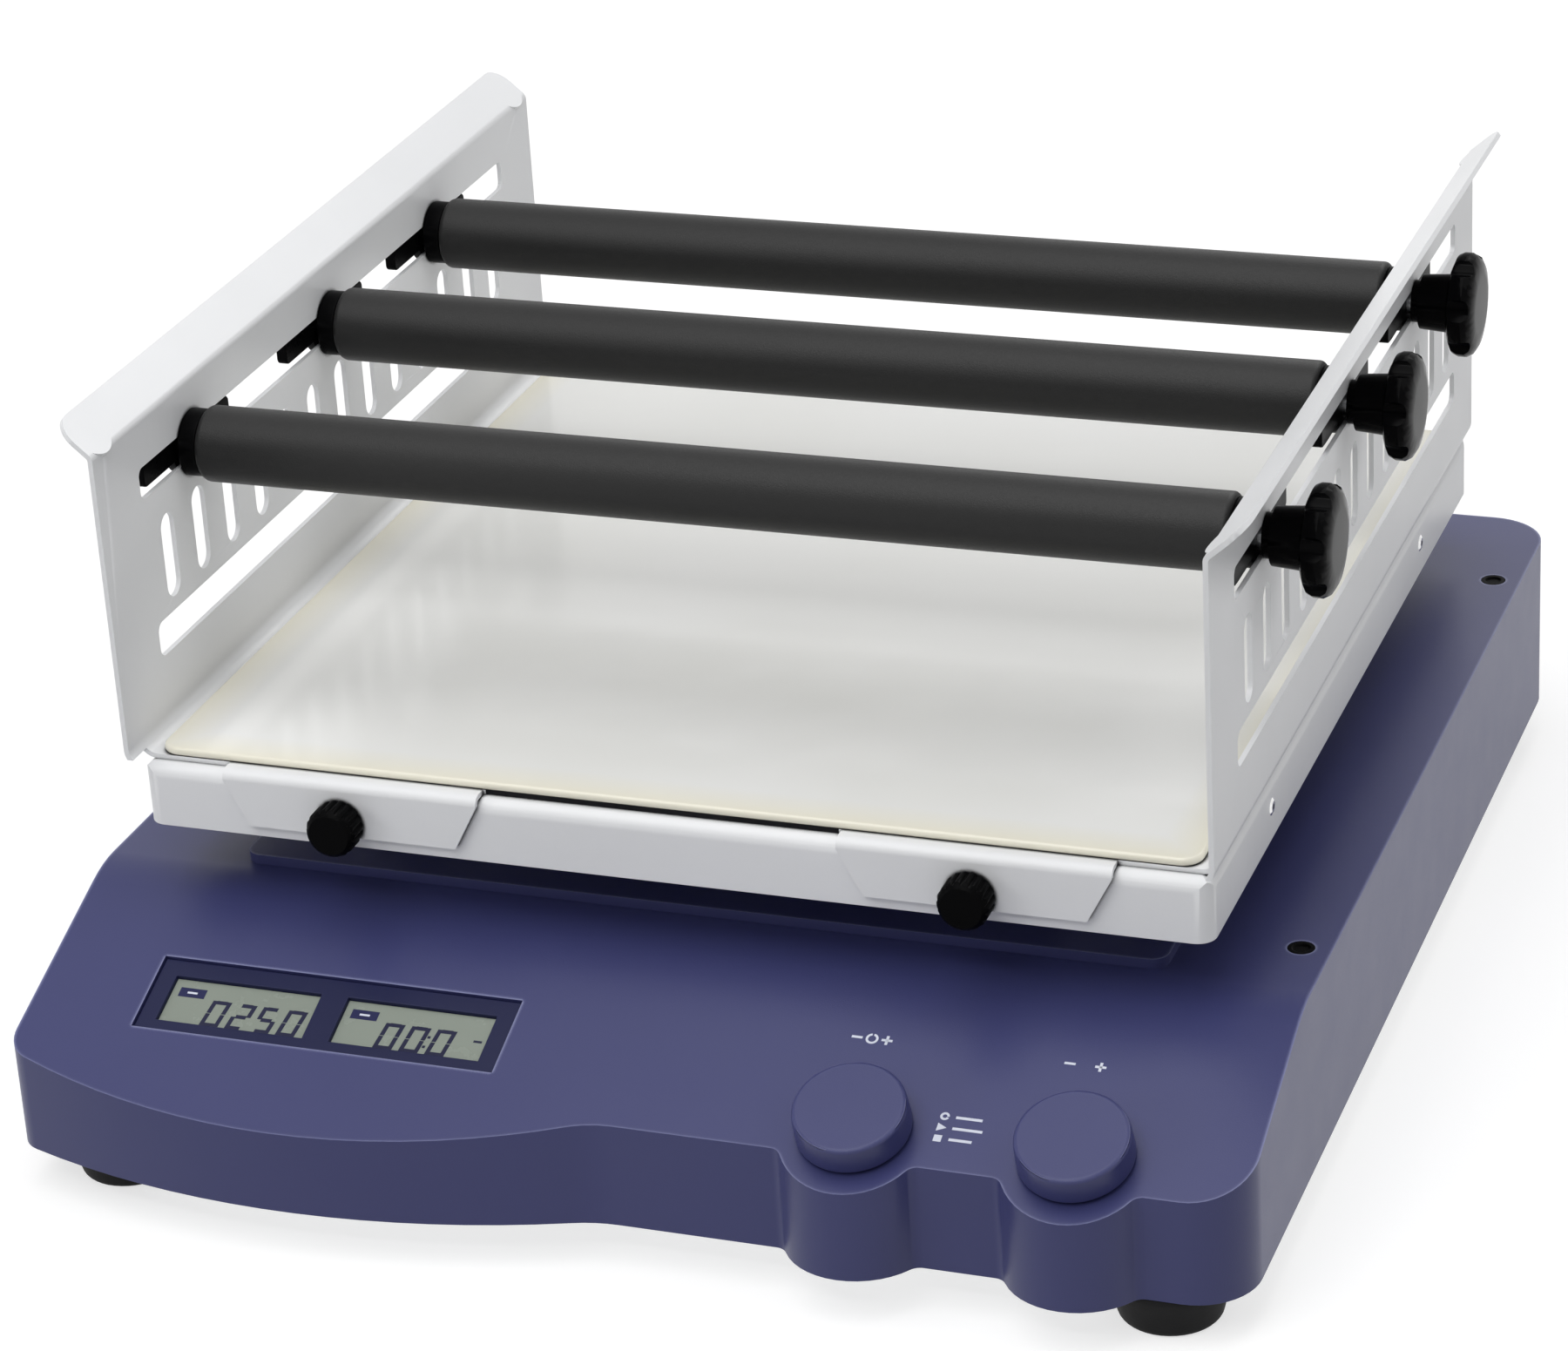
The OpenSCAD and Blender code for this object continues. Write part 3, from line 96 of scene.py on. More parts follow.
class Mat:
    """A node material with short ways to add and join nodes."""

    def __init__(self, name):
        self.material = bpy.data.materials.new(name)
        self.material.use_nodes = True
        self.tree = self.material.node_tree
        self.shader = self.tree.nodes["Principled BSDF"]

    def add(self, kind, **values):
        """A new node; each value goes to its property or its input of that name."""
        node = self.tree.nodes.new(kind)
        for key, value in values.items():
            if hasattr(node, key):
                setattr(node, key, value)
            else:
                node.inputs[key.replace("_", " ")].default_value = value
        return node

    def join(self, out, into):
        """Links an output to an input."""
        self.tree.links.new(out, into)

    def set(self, **values):
        """Sets constants on the shader's inputs."""
        for key, value in values.items():
            self.shader.inputs[key.replace("_", " ")].default_value = value

    def noise(self, scale, detail):
        """Noise over the object, 0 to 1; scale is in patches to the metre."""
        coord = self.add("ShaderNodeTexCoord")
        noise = self.add("ShaderNodeTexNoise", Scale=scale, Detail=detail, Roughness=0.6)
        self.join(coord.outputs["Object"], noise.inputs["Vector"])
        return noise.outputs["Fac"]

    def sum(self, kind, *values):
        """A Math node's result, from numbers and other nodes' results."""
        node = self.add("ShaderNodeMath", operation=kind)
        for i, value in enumerate(values):
            if isinstance(value, bpy.types.NodeSocket):
                self.join(value, node.inputs[i])
            else:
                node.inputs[i].default_value = value
        return node.outputs[0]

    def ramp(self, value, low, high):
        """Spreads the middle of noise, 0.3 to 0.7, between two numbers."""
        node = self.add("ShaderNodeMapRange", From_Min=0.3, From_Max=0.7, To_Min=low, To_Max=high)
        self.join(value, node.inputs["Value"])
        return node.outputs["Result"]

    def mix(self, factor, first, second):
        """A colour between two colours, by a factor from 0 to 1."""
        node = self.add("ShaderNodeMix", data_type="RGBA")
        for value, socket in ((factor, "Factor"), (first, "A"), (second, "B")):
            target = [s for s in node.inputs if s.name == socket and s.enabled][0]
            if isinstance(value, bpy.types.NodeSocket):
                self.join(value, target)
            elif isinstance(value, tuple):
                target.default_value = (*value, 1.0)
            else:
                target.default_value = value
        return [s for s in node.outputs if s.enabled][0]

    def edges(self, reach):
        """1 on the solid's outer edges that face up, 0 on its faces; reach in millimetres. Marks
        where highlights are painted on edges.
        """
        node = self.add("ShaderNodeAmbientOcclusion", samples=AO_SAMPLES, inside=True,
                        Distance=reach * MM)
        mask = self.add("ShaderNodeMapRange", From_Min=0.55, From_Max=0.85, To_Min=1.0, To_Max=0.0)
        self.join(node.outputs["AO"], mask.inputs["Value"])
        part = self.add("ShaderNodeSeparateXYZ")
        self.join(self.add("ShaderNodeTexCoord").outputs["Normal"], part.inputs["Vector"])
        upward = self.add("ShaderNodeMapRange", From_Min=0.05, From_Max=0.3, To_Min=0.0, To_Max=1.0)
        self.join(part.outputs["Z"], upward.inputs["Value"])
        return self.sum("MULTIPLY", mask.outputs["Result"], upward.outputs["Result"])

    def seam_shade(self, reach):
        """1 where another surface lies close in front, 0 in the open; reach in millimetres. Marks
        where shade is painted into seams.
        """
        node = self.add("ShaderNodeAmbientOcclusion", samples=AO_SAMPLES, Distance=reach * MM)
        mask = self.add("ShaderNodeMapRange", From_Min=0.5, From_Max=0.78, To_Min=1.0, To_Max=0.0)
        self.join(node.outputs["AO"], mask.inputs["Value"])
        return mask.outputs["Result"]

    def bump(self, height, strength, distance):
        """Raises the shader's surface by a height from 0 to 1; distance in metres."""
        node = self.add("ShaderNodeBump", Strength=strength, Distance=distance)
        self.join(height, node.inputs["Height"])
        self.join(node.outputs["Normal"], self.shader.inputs["Normal"])


def srgb(red, green, blue):
    """A colour written as seen, 0 to 255, turned to linear light."""
    def linear(value):
        value /= 255.0
        return value / 12.92 if value <= 0.04045 else ((value + 0.055) / 1.055) ** 2.4
    return (linear(red), linear(green), linear(blue))


def surface(name, colour, rough, metal=0.0, vary=0.06, grain=900.0, grain_depth=0.03,
            patch=9.0, rough_vary=0.05, **more):
    """A solid finish: uneven tone in broad patches, uneven gloss and a fine grain."""
    m = Mat(name)
    m.set(Metallic=metal, **more)
    light = tuple(min(1.0, c * (1 + vary)) for c in colour)
    dark = tuple(c * (1 - vary) for c in colour)
    broad = m.noise(patch, 2.0)
    m.join(m.mix(m.ramp(broad, 0.0, 1.0), dark, light), m.shader.inputs["Base Color"])
    m.join(m.ramp(m.noise(patch * 6, 4.0), rough - rough_vary, rough + rough_vary),
           m.shader.inputs["Roughness"])
    m.bump(m.noise(grain, 2.0), grain_depth, FINE_BUMP)
    return m.material


def sheet_finish():
    """White powder coat, with painted shade that turns its seams near black."""
    m = Mat("sheet_white")
    paint = m.mix(m.ramp(m.noise(9.0, 2.0), 0.0, 1.0), srgb(238, 239, 241), srgb(242, 243, 245))
    # Painted shade: seams where another surface lies close turn near black.
    m.join(m.mix(m.seam_shade(1.8), paint, srgb(24, 24, 27)), m.shader.inputs["Base Color"])
    m.join(m.ramp(m.noise(54.0, 4.0), 0.31, 0.37), m.shader.inputs["Roughness"])
    m.bump(m.noise(1400.0, 2.0), 0.05, FINE_BUMP)
    return m.material


def shade_finish():
    """Painted shade: a near-black colour for the faces inside the narrow gap under the cradle floor.
    """
    m = Mat("gap_shade")
    tone = m.mix(m.ramp(m.noise(60.0, 2.0), 0.0, 1.0), srgb(20, 20, 23), srgb(30, 30, 33))
    m.join(tone, m.shader.inputs["Base Color"])
    m.set(Roughness=0.8, Specular_IOR_Level=0.1)
    return m.material


def housing_finish():
    """Satin blue plastic, with painted highlights along its outer edges that face up."""
    m = Mat("housing_blue")
    paint = m.mix(m.ramp(m.noise(9.0, 2.0), 0.0, 1.0), srgb(60, 63, 110), srgb(63, 66, 113))
    # Painted highlight: the outer edges that face up turn a paler blue.
    m.join(m.mix(m.edges(1.3), paint, srgb(140, 144, 182)), m.shader.inputs["Base Color"])
    m.join(m.ramp(m.noise(54.0, 4.0), 0.33, 0.36), m.shader.inputs["Roughness"])
    m.set(Specular_IOR_Level=0.32)
    m.bump(m.noise(2600.0, 2.0), 0.10, FINE_BUMP)
    return m.material


# Width of the mat's yellowed rim
MAT_RIM = 13 * MM


def mat_finish():
    """Glossy rubber sheet, near white, with a yellowed rim."""
    m = Mat("mat_cream")
    low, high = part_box("mat")
    coord = m.add("ShaderNodeTexCoord")
    part = m.add("ShaderNodeSeparateXYZ")
    m.join(coord.outputs["Object"], part.inputs["Vector"])
    past = []
    for axis in (0, 1):
        middle = (low[axis] + high[axis]) / 2
        half = (high[axis] - low[axis]) / 2
        away = m.sum("ABSOLUTE", m.sum("SUBTRACT", part.outputs[axis], middle))
        past.append(m.sum("SUBTRACT", away, half))
    rim = m.add("ShaderNodeMapRange", From_Min=-MAT_RIM, From_Max=0.0, To_Min=0.0, To_Max=1.0)
    m.join(m.sum("MAXIMUM", *past), rim.inputs["Value"])
    broad = m.ramp(m.noise(7.0, 2.0), 0.0, 1.0)
    top = m.mix(broad, srgb(241, 241, 237), srgb(246, 246, 244))
    m.join(m.mix(rim.outputs["Result"], top, srgb(244, 240, 222)), m.shader.inputs["Base Color"])
    m.join(m.ramp(m.noise(40.0, 4.0), 0.10, 0.17), m.shader.inputs["Roughness"])
    m.set(Specular_IOR_Level=0.5)
    m.bump(m.noise(26.0, 2.0), 0.05, WAVE_BUMP)
    return m.material


MATERIALS = {
    "housing_blue": housing_finish(),
    "gap_shade": shade_finish(),
    "zinc_steel": surface("zinc_steel", srgb(196, 198, 200), 0.38, metal=0.9, vary=0.10,
                          patch=60.0),
    "rubber": surface("rubber", srgb(17, 17, 18), 0.62, vary=0.10, grain=1500.0, grain_depth=0.15,
                      IOR=1.25),
    "black_plastic": surface("black_plastic", srgb(8, 8, 9), 0.30, vary=0.08, grain=1800.0,
                             grain_depth=0.08, IOR=1.2, Specular_IOR_Level=0.1),
    "bezel_navy": surface("bezel_navy", srgb(24, 28, 66), 0.36, vary=0.05, grain=2200.0,
                          Specular_IOR_Level=0.2),
    "lcd_glass": surface("lcd_glass", srgb(142, 150, 140), 0.25, vary=0.02, patch=30.0, grain=200.0,
                         grain_depth=0.0, Specular_IOR_Level=0.3),
    "board_green": surface("board_green", srgb(30, 96, 62), 0.40, vary=0.12, patch=80.0),
    "dark_plastic": surface("dark_plastic", srgb(52, 52, 56), 0.45, vary=0.08),
    "motor_black": surface("motor_black", srgb(46, 47, 50), 0.38, vary=0.08),
    "cast_grey": surface("cast_grey", srgb(148, 150, 153), 0.55, vary=0.08, grain=500.0,
                         grain_depth=0.25),
    "bearing_steel": surface("bearing_steel", srgb(206, 208, 212), 0.18, metal=1.0, vary=0.04),
    "machined_steel": surface("machined_steel", srgb(190, 192, 195), 0.30, metal=1.0, vary=0.06),
    "cast_iron": surface("cast_iron", srgb(96, 97, 99), 0.60, metal=0.6, vary=0.12, grain=420.0,
                         grain_depth=0.3),
    "aluminium": surface("aluminium", srgb(205, 207, 210), 0.34, metal=0.95, vary=0.05),
    "sheet_white": sheet_finish(),
    "bright_screw": surface("bright_screw", srgb(226, 226, 226), 0.16, metal=1.0, vary=0.03),
    "mat_cream": mat_finish(),
    "foam_black": surface("foam_black", srgb(18, 18, 18), 0.44, vary=0.08, grain=2600.0,
                          grain_depth=0.22, patch=260.0, IOR=1.36),
    "gloss_black": surface("gloss_black", srgb(6, 6, 7), 0.15, vary=0.10, grain=60.0,
                           grain_depth=0.02, IOR=1.22, Specular_IOR_Level=0.12),
}

SLOT_OF = {row["node"]: row["material_slot"] for row in frame["record"]["subparts"]}
GROUPS = frame["record"]["behaviour"]["bodies"]
BODY_OF = {node: body for body, nodes in GROUPS.items() for node in nodes}


def node_object(name):
    return frame["nodes"][name]


def dress_nodes():
    """Gives each CAD node the material of its slot."""
    for name, slot in SLOT_OF.items():
        piece = node_object(name)
        piece.data.materials.clear()
        piece.data.materials.append(MATERIALS[slot])


dress_nodes()


# Softened copies of solids whose edges catch the light

def scene_object(name, mesh):
    """A new object in the scene from a mesh."""
    piece = bpy.data.objects.new(name, mesh)
    bpy.context.scene.collection.objects.link(piece)
    return piece


def box_mesh(low, high):
    """A box between two corners in millimetres."""
    form = bmesh.new()
    bmesh.ops.create_cube(form, size=1.0)
    for vert in form.verts:
        vert.co = Vector([(low[i] if vert.co[i] < 0 else high[i]) * MM for i in range(3)])
    mesh = bpy.data.meshes.new("cutter")
    form.to_mesh(mesh)
    form.free()
    return mesh


def grooved(mesh, boxes):
    """The mesh with boxes cut out of it; the cut faces take the painted shade of the gap."""
    for low, high in boxes:
        work = scene_object("work", mesh)
        cutter = scene_object("cutter", box_mesh(low, high))
        # Painted shade: the faces of each cut take the near-black gap colour.
        cutter.data.materials.append(MATERIALS["gap_shade"])
        cut = work.modifiers.new("cut", "BOOLEAN")
        cut.material_mode = "TRANSFER"
        cut.object = cutter
        cut.solver = "EXACT"
        graph = bpy.context.evaluated_depsgraph_get()
        mesh = bpy.data.meshes.new_from_object(work.evaluated_get(graph))
        bpy.data.objects.remove(work)
        bpy.data.objects.remove(cutter)
    return mesh


def close_slits(form):
    """Takes out the faces inside a slit of no width, so that the skin runs on across it."""
    rim = set()
    for edge in form.edges:
        if len(edge.link_faces) > 2:
            rim.update(edge.verts)
    inner = [face for face in form.faces if all(vert in rim for vert in face.verts)]
    bmesh.ops.delete(form, geom=inner, context="FACES_ONLY")


# Faces that meet below the first angle become one, and edges above the second are rounded
FLAT_ANGLE = math.radians(1.2)
SHARP_ANGLE = math.radians(30.0)
SMALL_RADIUS = 0.3


def soften(node, radius, grooves=()):
    """A copy of a solid with its sharp edges rounded, which stands for that solid."""
    mesh = grooved(node_object(node).data.copy(), grooves)
    mesh.name = node + "_soft"
    form = bmesh.new()
    form.from_mesh(mesh)
    bmesh.ops.remove_doubles(form, verts=form.verts, dist=1e-6)
    close_slits(form)
    bmesh.ops.dissolve_limit(form, angle_limit=FLAT_ANGLE, verts=form.verts, edges=form.edges)
    form.to_mesh(mesh)
    form.free()
    piece = scene_object(node + "_soft", mesh)
    bevel = piece.modifiers.new("bevel", "BEVEL")
    bevel.width = radius * MM
    bevel.segments = 3 if radius > SMALL_RADIUS else 2
    bevel.limit_method = "ANGLE"
    bevel.angle_limit = SHARP_ANGLE
    bevel.use_clamp_overlap = True
    even = piece.modifiers.new("even", "WEIGHTED_NORMAL")
    even.mode = "FACE_AREA"
    even.weight = 100
    for face in mesh.polygons:
        face.use_smooth = True
    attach(piece, BODY_OF[node])
    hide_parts(node)


BARS = ("front", "middle", "rear")

# Edge radius in millimetres on each solid
EDGE_RADIUS = {
    "housing": 1.4, "mat": 1.0, "speed_knob": 0.9, "time_knob": 0.9, "display_bezel": 0.3,
    "platform_tray": 0.4, "cradle": 0.35, "feet": 1.0, "power_inlet": 0.5, "power_rocker": 0.4,
    "thumb_screw_left": 0.25, "thumb_screw_right": 0.25, "hole_plugs": 0.3,
}
for bar in BARS:
    EDGE_RADIUS[bar + "_clamp_knob"] = 1.2
    EDGE_RADIUS[bar + "_caps"] = 0.6
    EDGE_RADIUS[bar + "_guides"] = 0.5


# Gap in the tray's top, its cut faces painted near black as shade, along the free stretches of the
# cradle floor's front edge.
# Between the tabs the floor ends under the mat, so that the gap lies open there.
# All of these are in millimetres: y of its sides, its depth, and x of its stretches.
GAP_FRONT = -161.8
GAP_REAR = -150.0
GAP_DEEP = 1.8
LEFT_GAP = (-156.0, -136.0)
MIDDLE_GAP = (-53.6, 53.6)
RIGHT_GAP = (136.0, 156.0)
UNDER_MAT = 0.5
CUT_SPARE = 1.0
FLOOR_SPARE = 0.2


def tray_grooves():
    """The boxes that open the gap in the tray's top."""
    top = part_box("platform_tray")[1][2] / MM
    return [((left, GAP_FRONT, top - GAP_DEEP), (right, GAP_REAR, top + CUT_SPARE))
            for left, right in (LEFT_GAP, MIDDLE_GAP, RIGHT_GAP)]


def floor_grooves():
    """The box that takes the cradle floor's front edge back under the mat."""
    tray_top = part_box("platform_tray")[1][2] / MM
    mat_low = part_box("mat")[0]
    left, right = MIDDLE_GAP
    low = (left, GAP_FRONT - CUT_SPARE, tray_top - CUT_SPARE)
    high = (right, mat_low[1] / MM + UNDER_MAT, mat_low[2] / MM + FLOOR_SPARE)
    return [(low, high)]


GROOVES = {"platform_tray": tray_grooves(), "cradle": floor_grooves()}

for node, radius in EDGE_RADIUS.items():
    soften(node, radius, GROOVES.get(node, ()))


# Flat marks: thin plates laid on a sloping face. The panel's places are in millimetres.

PANEL_ANGLE = math.radians(20.9)
CREASE_Y = -128.0
DECK_Z = 72.0
KNOB_Y = -186.3
SPEED_X = 72.3
TIME_X = 135.9
DISPLAY_X = -93.75
DISPLAY_Y = -170.9
WINDOW_PITCH = 55.0
WINDOW_W = 46.5
WINDOW_H = 16.7
LCD_DEPTH = 4.5


def on_panel(x, y, out=0.0):
    """Turns millimetres to the right, up the panel's slope and out of it into the frame's metres."""
    z = DECK_Z + math.tan(PANEL_ANGLE) * (y - CREASE_Y)
    place = Matrix.Translation(Vector((x, y, z)) * MM) @ Matrix.Rotation(PANEL_ANGLE, 4, "X")
    return place @ Matrix.Translation((0, 0, out * MM)) @ Matrix.Scale(MM, 4)


def plate(name, shapes, place, thick, material, body):
    """One piece of thin flat shapes, each a ring of points in millimetres."""
    form = bmesh.new()
    for ring in shapes:
        low = [form.verts.new(place @ Vector((u, v, 0))) for u, v in ring]
        high = [form.verts.new(place @ Vector((u, v, thick))) for u, v in ring]
        form.faces.new(high)
        form.faces.new(low[::-1])
        count = len(ring)
        for i in range(count):
            j = (i + 1) % count
            form.faces.new((low[i], low[j], high[j], high[i]))
    bmesh.ops.recalc_face_normals(form, faces=form.faces)
    mesh = bpy.data.meshes.new(name)
    form.to_mesh(mesh)
    form.free()
    mesh.materials.append(material)
    piece = scene_object(name, mesh)
    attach(piece, body)


def box_ring(u, v, w, h):
    """A rectangle around a middle point, as one ring of points."""
    return [(u + i * w / 2, v + j * h / 2) for i, j in ((-1, -1), (1, -1), (1, 1), (-1, 1))]


def arc_ring(radius, width, start, stop, steps=14):
    """A curved stroke as one ring of points; angles in degrees."""
    angles = [math.radians(start + (stop - start) * i / steps) for i in range(steps + 1)]
    far, near = radius + width / 2, radius - width / 2
    outer = [(far * math.cos(a), far * math.sin(a)) for a in angles]
    inner = [(near * math.cos(a), near * math.sin(a)) for a in angles]
    return outer + inner[::-1]


def moved(ring, u, v):
    """A ring of points shifted by u and v."""
    return [(x + u, y + v) for x, y in ring]


# Seven-segment digits

SEGMENTS = {
    "0": "abcdef", "1": "bc", "2": "abged", "3": "abgcd", "4": "fgbc",
    "5": "afgcd", "6": "afgedc", "7": "abc", "8": "abcdefg", "9": "abcdfg",
}
DIGIT_WIDTH = 6.0
DIGIT_HEIGHT = 9.8
DIGIT_STROKE = 1.35
DIGIT_STEP = 8.1
DIGIT_LEAN = 0.12
DIGIT_GAP = 0.12


def digit(value, u, v):
    """The strokes of one digit whose lower left corner is at u, v."""
    w, h, t, gap = DIGIT_WIDTH, DIGIT_HEIGHT, DIGIT_STROKE, DIGIT_GAP
    mid = h / 2
    flat = {
        "a": (t, h - t, w - t, h), "d": (t, 0, w - t, t), "g": (t, mid - t / 2, w - t, mid + t / 2),
        "b": (w - t, mid + gap, w, h - gap), "c": (w - t, gap, w, mid - gap),
        "f": (0, mid + gap, t, h - gap), "e": (0, gap, t, mid - gap),
    }
    rings = []
    for key in SEGMENTS[value]:
        x0, y0, x1, y1 = flat[key]
        ring = [(x0, y0), (x1, y0), (x1, y1), (x0, y1)]
        rings.append([(u + x + DIGIT_LEAN * y, v + y) for x, y in ring])
    return rings


INK = surface("lcd_ink", srgb(30, 32, 60), 0.5, vary=0.04, Specular_IOR_Level=0.2)
MARK_WHITE = surface("mark_white", srgb(222, 226, 240), 0.5, vary=0.02)
MARK_DARK = surface("mark_dark", srgb(34, 37, 78), 0.5, vary=0.04, Specular_IOR_Level=0.2)

LENS_UP = 2.4
LENS_PLAY = 0.3
WINDOW_LOWER = -1.0
INK_THICK = 0.04
MARK_THICK = 0.06
ARC_THICK = 0.05
BAR_UP = 0.05
BAR_THICK = 0.03

# On the glass, from a window's lower left corner
DIGITS_IN = 13.0
DIGITS_UP = 0.6
COLON_BACK = 1.0
COLON_DOTS = ((0.0, 3.4), (0.4, 7.0))
COLON_DOT = 0.9
DASH = (WINDOW_W - 3.0, 7.6, 2.6, 0.8)
TAG = (6.6, 12.0, 8.4, 3.4)
TAG_BAR = (6.6, 12.0, 3.2, 0.7)


def add_display(name, side, text, colon_after, dash):
    """One window: the glass that stands up in it, and the digits and tag on the glass."""
    middle = side * WINDOW_PITCH / 2
    glass = [box_ring(middle, WINDOW_LOWER, WINDOW_W - LENS_PLAY, WINDOW_H - LENS_PLAY)]
    plate(name + "_glass", glass, on_panel(DISPLAY_X, DISPLAY_Y, -LCD_DEPTH), LENS_UP,
          MATERIALS["lcd_glass"], "base")
    place = on_panel(DISPLAY_X, DISPLAY_Y, LENS_UP - LCD_DEPTH)
    left = middle - WINDOW_W / 2
    low = WINDOW_LOWER - WINDOW_H / 2
    shapes = []
    start = left + DIGITS_IN
    for i, value in enumerate(text):
        shapes += digit(value, start + i * DIGIT_STEP, low + DIGITS_UP)
    if colon_after:
        colon = start + colon_after * DIGIT_STEP - COLON_BACK
        for u, v in COLON_DOTS:
            shapes.append(box_ring(colon + u, low + v, COLON_DOT, COLON_DOT))
    if dash:
        shapes.append(moved(box_ring(*DASH), left, low))
    plate(name + "_digits", shapes, place, INK_THICK, INK, "base")
    tag = [moved(box_ring(*TAG), left, low)]
    plate(name + "_tag", tag, place, INK_THICK, MARK_DARK, "base")
    bar = [moved(box_ring(*TAG_BAR), left, low)]
    plate(name + "_tag_bar", bar, place @ Matrix.Translation((0, 0, BAR_UP)), BAR_THICK,
          MARK_WHITE, "base")


add_display("left_display", -1, "0250", 0, False)
add_display("right_display", 1, "000", 2, True)


# Plain marks beside the knobs

MARKS_UP = 32.0
MARKS_APART = 4.4
MARK_LONG = 3.2
MARK_WIDE = 0.8
RING_LINE = 0.7
SPEED_MARKS = -4.3
TIME_MARKS = -5.9
KNOB_ARC = 19.2
PRESS_AT = (-2.6, 4.2)
PRESS_LINES = 3.9
PRESS_SIGNS = -5.4
PRESS_START = 3.2
PRESS_WIDE = 0.9
PRESS_LENGTHS = ((1, 7.6), (0, 8.6), (-1, 6.6))

# Rings: radius to the line's middle, its width, first and last angle in degrees, and steps
ZERO_RING = (1.5, RING_LINE, 100, 440, 24)
PRESS_RING = (1.0, RING_LINE, 0, 340, 24)
OFF_RING = (1.4, RING_LINE, 0, 350, 24)


def add_knob_marks(name, x, aside, ring):
    """Minus and plus above a knob, a small ring between them where asked, and arcs at its rim."""
    place = on_panel(x, KNOB_Y)
    left, right = aside - MARKS_APART, aside + MARKS_APART
    white = [box_ring(u, MARKS_UP, MARK_LONG, MARK_WIDE) for u in (left, right)]
    white.append(box_ring(right, MARKS_UP, MARK_WIDE, MARK_LONG))
    if ring:
        white.append(moved(arc_ring(*ZERO_RING), aside, MARKS_UP))
    plate(name + "_marks", white, place, MARK_THICK, MARK_WHITE, "base")
    dark = [arc_ring(KNOB_ARC, RING_LINE, start, stop) for start, stop in ((96, 116), (64, 80))]
    plate(name + "_arc", dark, place, ARC_THICK, MARK_DARK, "base")


def add_press_marks():
    """Three short lines between the knobs, headed by a ring, a triangle and a square."""
    place = on_panel((SPEED_X + TIME_X) / 2 + PRESS_AT[0], KNOB_Y + PRESS_AT[1])
    ring = arc_ring(*PRESS_RING)
    triangle = [(-1.2, -1.4), (1.5, 0), (-1.2, 1.4)]
    square = box_ring(0, 0, 2.3, 2.3)
    signs = ((ring, PRESS_LINES), (triangle, 0), (square, -PRESS_LINES))
    rows = [moved(sign, PRESS_SIGNS, up) for sign, up in signs]
    for line, length in PRESS_LENGTHS:
        middle = PRESS_SIGNS + PRESS_START + length / 2
        rows.append(box_ring(middle, line * PRESS_LINES, length, PRESS_WIDE))
    plate("press_marks", rows, place, MARK_THICK, MARK_WHITE, "base")


add_knob_marks("speed", SPEED_X, SPEED_MARKS, True)
add_knob_marks("time", TIME_X, TIME_MARKS, False)
add_press_marks()


# Mains inlet: metal blades in the socket, and the marks on the switch

# The inlet's middle on the rear face, each blade's x and z from there, and half a blade's size
INLET = Vector((-112.0, 213.0, 42.0))
BLADES = ((-17.5, -2.0), (-10.5, 3.0), (-3.5, -2.0))
BLADE_HALF = Vector((1.05, 6.8, 2.05))
BLADE_IN = -13.75

# The rocker's pivot from the inlet's middle, its tilt at rest, and the lean of its two halves
ROCKER = Vector((14.5, -5.6, 0.0))
ROCKER_TILT = math.radians(8.0)
ROCKER_LEAN = 9.66
ROCKER_FACE = 2.62
SIGN_UP = 4.8


def add_blades():
    """The socket's three metal blades, in one piece."""
    form = bmesh.new()
    for x, z in BLADES:
        middle = INLET + Vector((x, BLADE_IN, z))
        place = Matrix.Translation(middle * MM) @ Matrix.Diagonal((*(BLADE_HALF * MM), 1))
        bmesh.ops.create_cube(form, size=2.0, matrix=place)
    bmesh.ops.bevel(form, geom=form.edges[:], offset=0.4 * MM, segments=2, affect="EDGES")
    mesh = bpy.data.meshes.new("inlet_blades")
    form.to_mesh(mesh)
    form.free()
    mesh.materials.append(MATERIALS["bright_screw"])
    piece = scene_object("inlet_blades", mesh)
    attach(piece, "base")


def add_switch_marks():
    """A bar on the upper half of the rocker and a ring on the lower half."""
    pivot = Matrix.Translation((INLET + ROCKER) * MM) @ Matrix.Rotation(ROCKER_TILT, 4, "X")
    bar = box_ring(0, 0, 0.8, 3.0)
    ring = arc_ring(*OFF_RING)
    for name, up, sign in (("on", 1, bar), ("off", -1, ring)):
        turn = Matrix.Rotation(math.radians(-90 - up * ROCKER_LEAN), 4, "X")
        shift = Matrix.Translation(Vector((0, ROCKER_FACE, up * SIGN_UP)) * MM)
        place = pivot @ shift @ turn @ Matrix.Scale(MM, 4)
        plate("switch_" + name, [sign], place, MARK_THICK, MARK_WHITE, "rocker")


add_blades()
add_switch_marks()


# Floor, backdrop and light

FLOOR_SIZE = 12.0
FLOOR_TONE = 0.5

# Distance from the middle in metres, and the floor's glow there
NEAR_GLOW = (0.5, 0.66)
FAR_GLOW = (1.6, 0.92)
SKY_LEVEL = 0.25
WHITE = (1, 1, 1, 1)


def seen_rays(tree):
    """1 for rays from the camera, from glossy surfaces and through clear ones, else 0."""
    path = tree.nodes.new("ShaderNodeLightPath")
    total = path.outputs["Is Camera Ray"]
    for name in ("Is Glossy Ray", "Is Transmission Ray"):
        larger = tree.nodes.new("ShaderNodeMath")
        larger.operation = "MAXIMUM"
        tree.links.new(total, larger.inputs[0])
        tree.links.new(path.outputs[name], larger.inputs[1])
        total = larger.outputs[0]
    return total


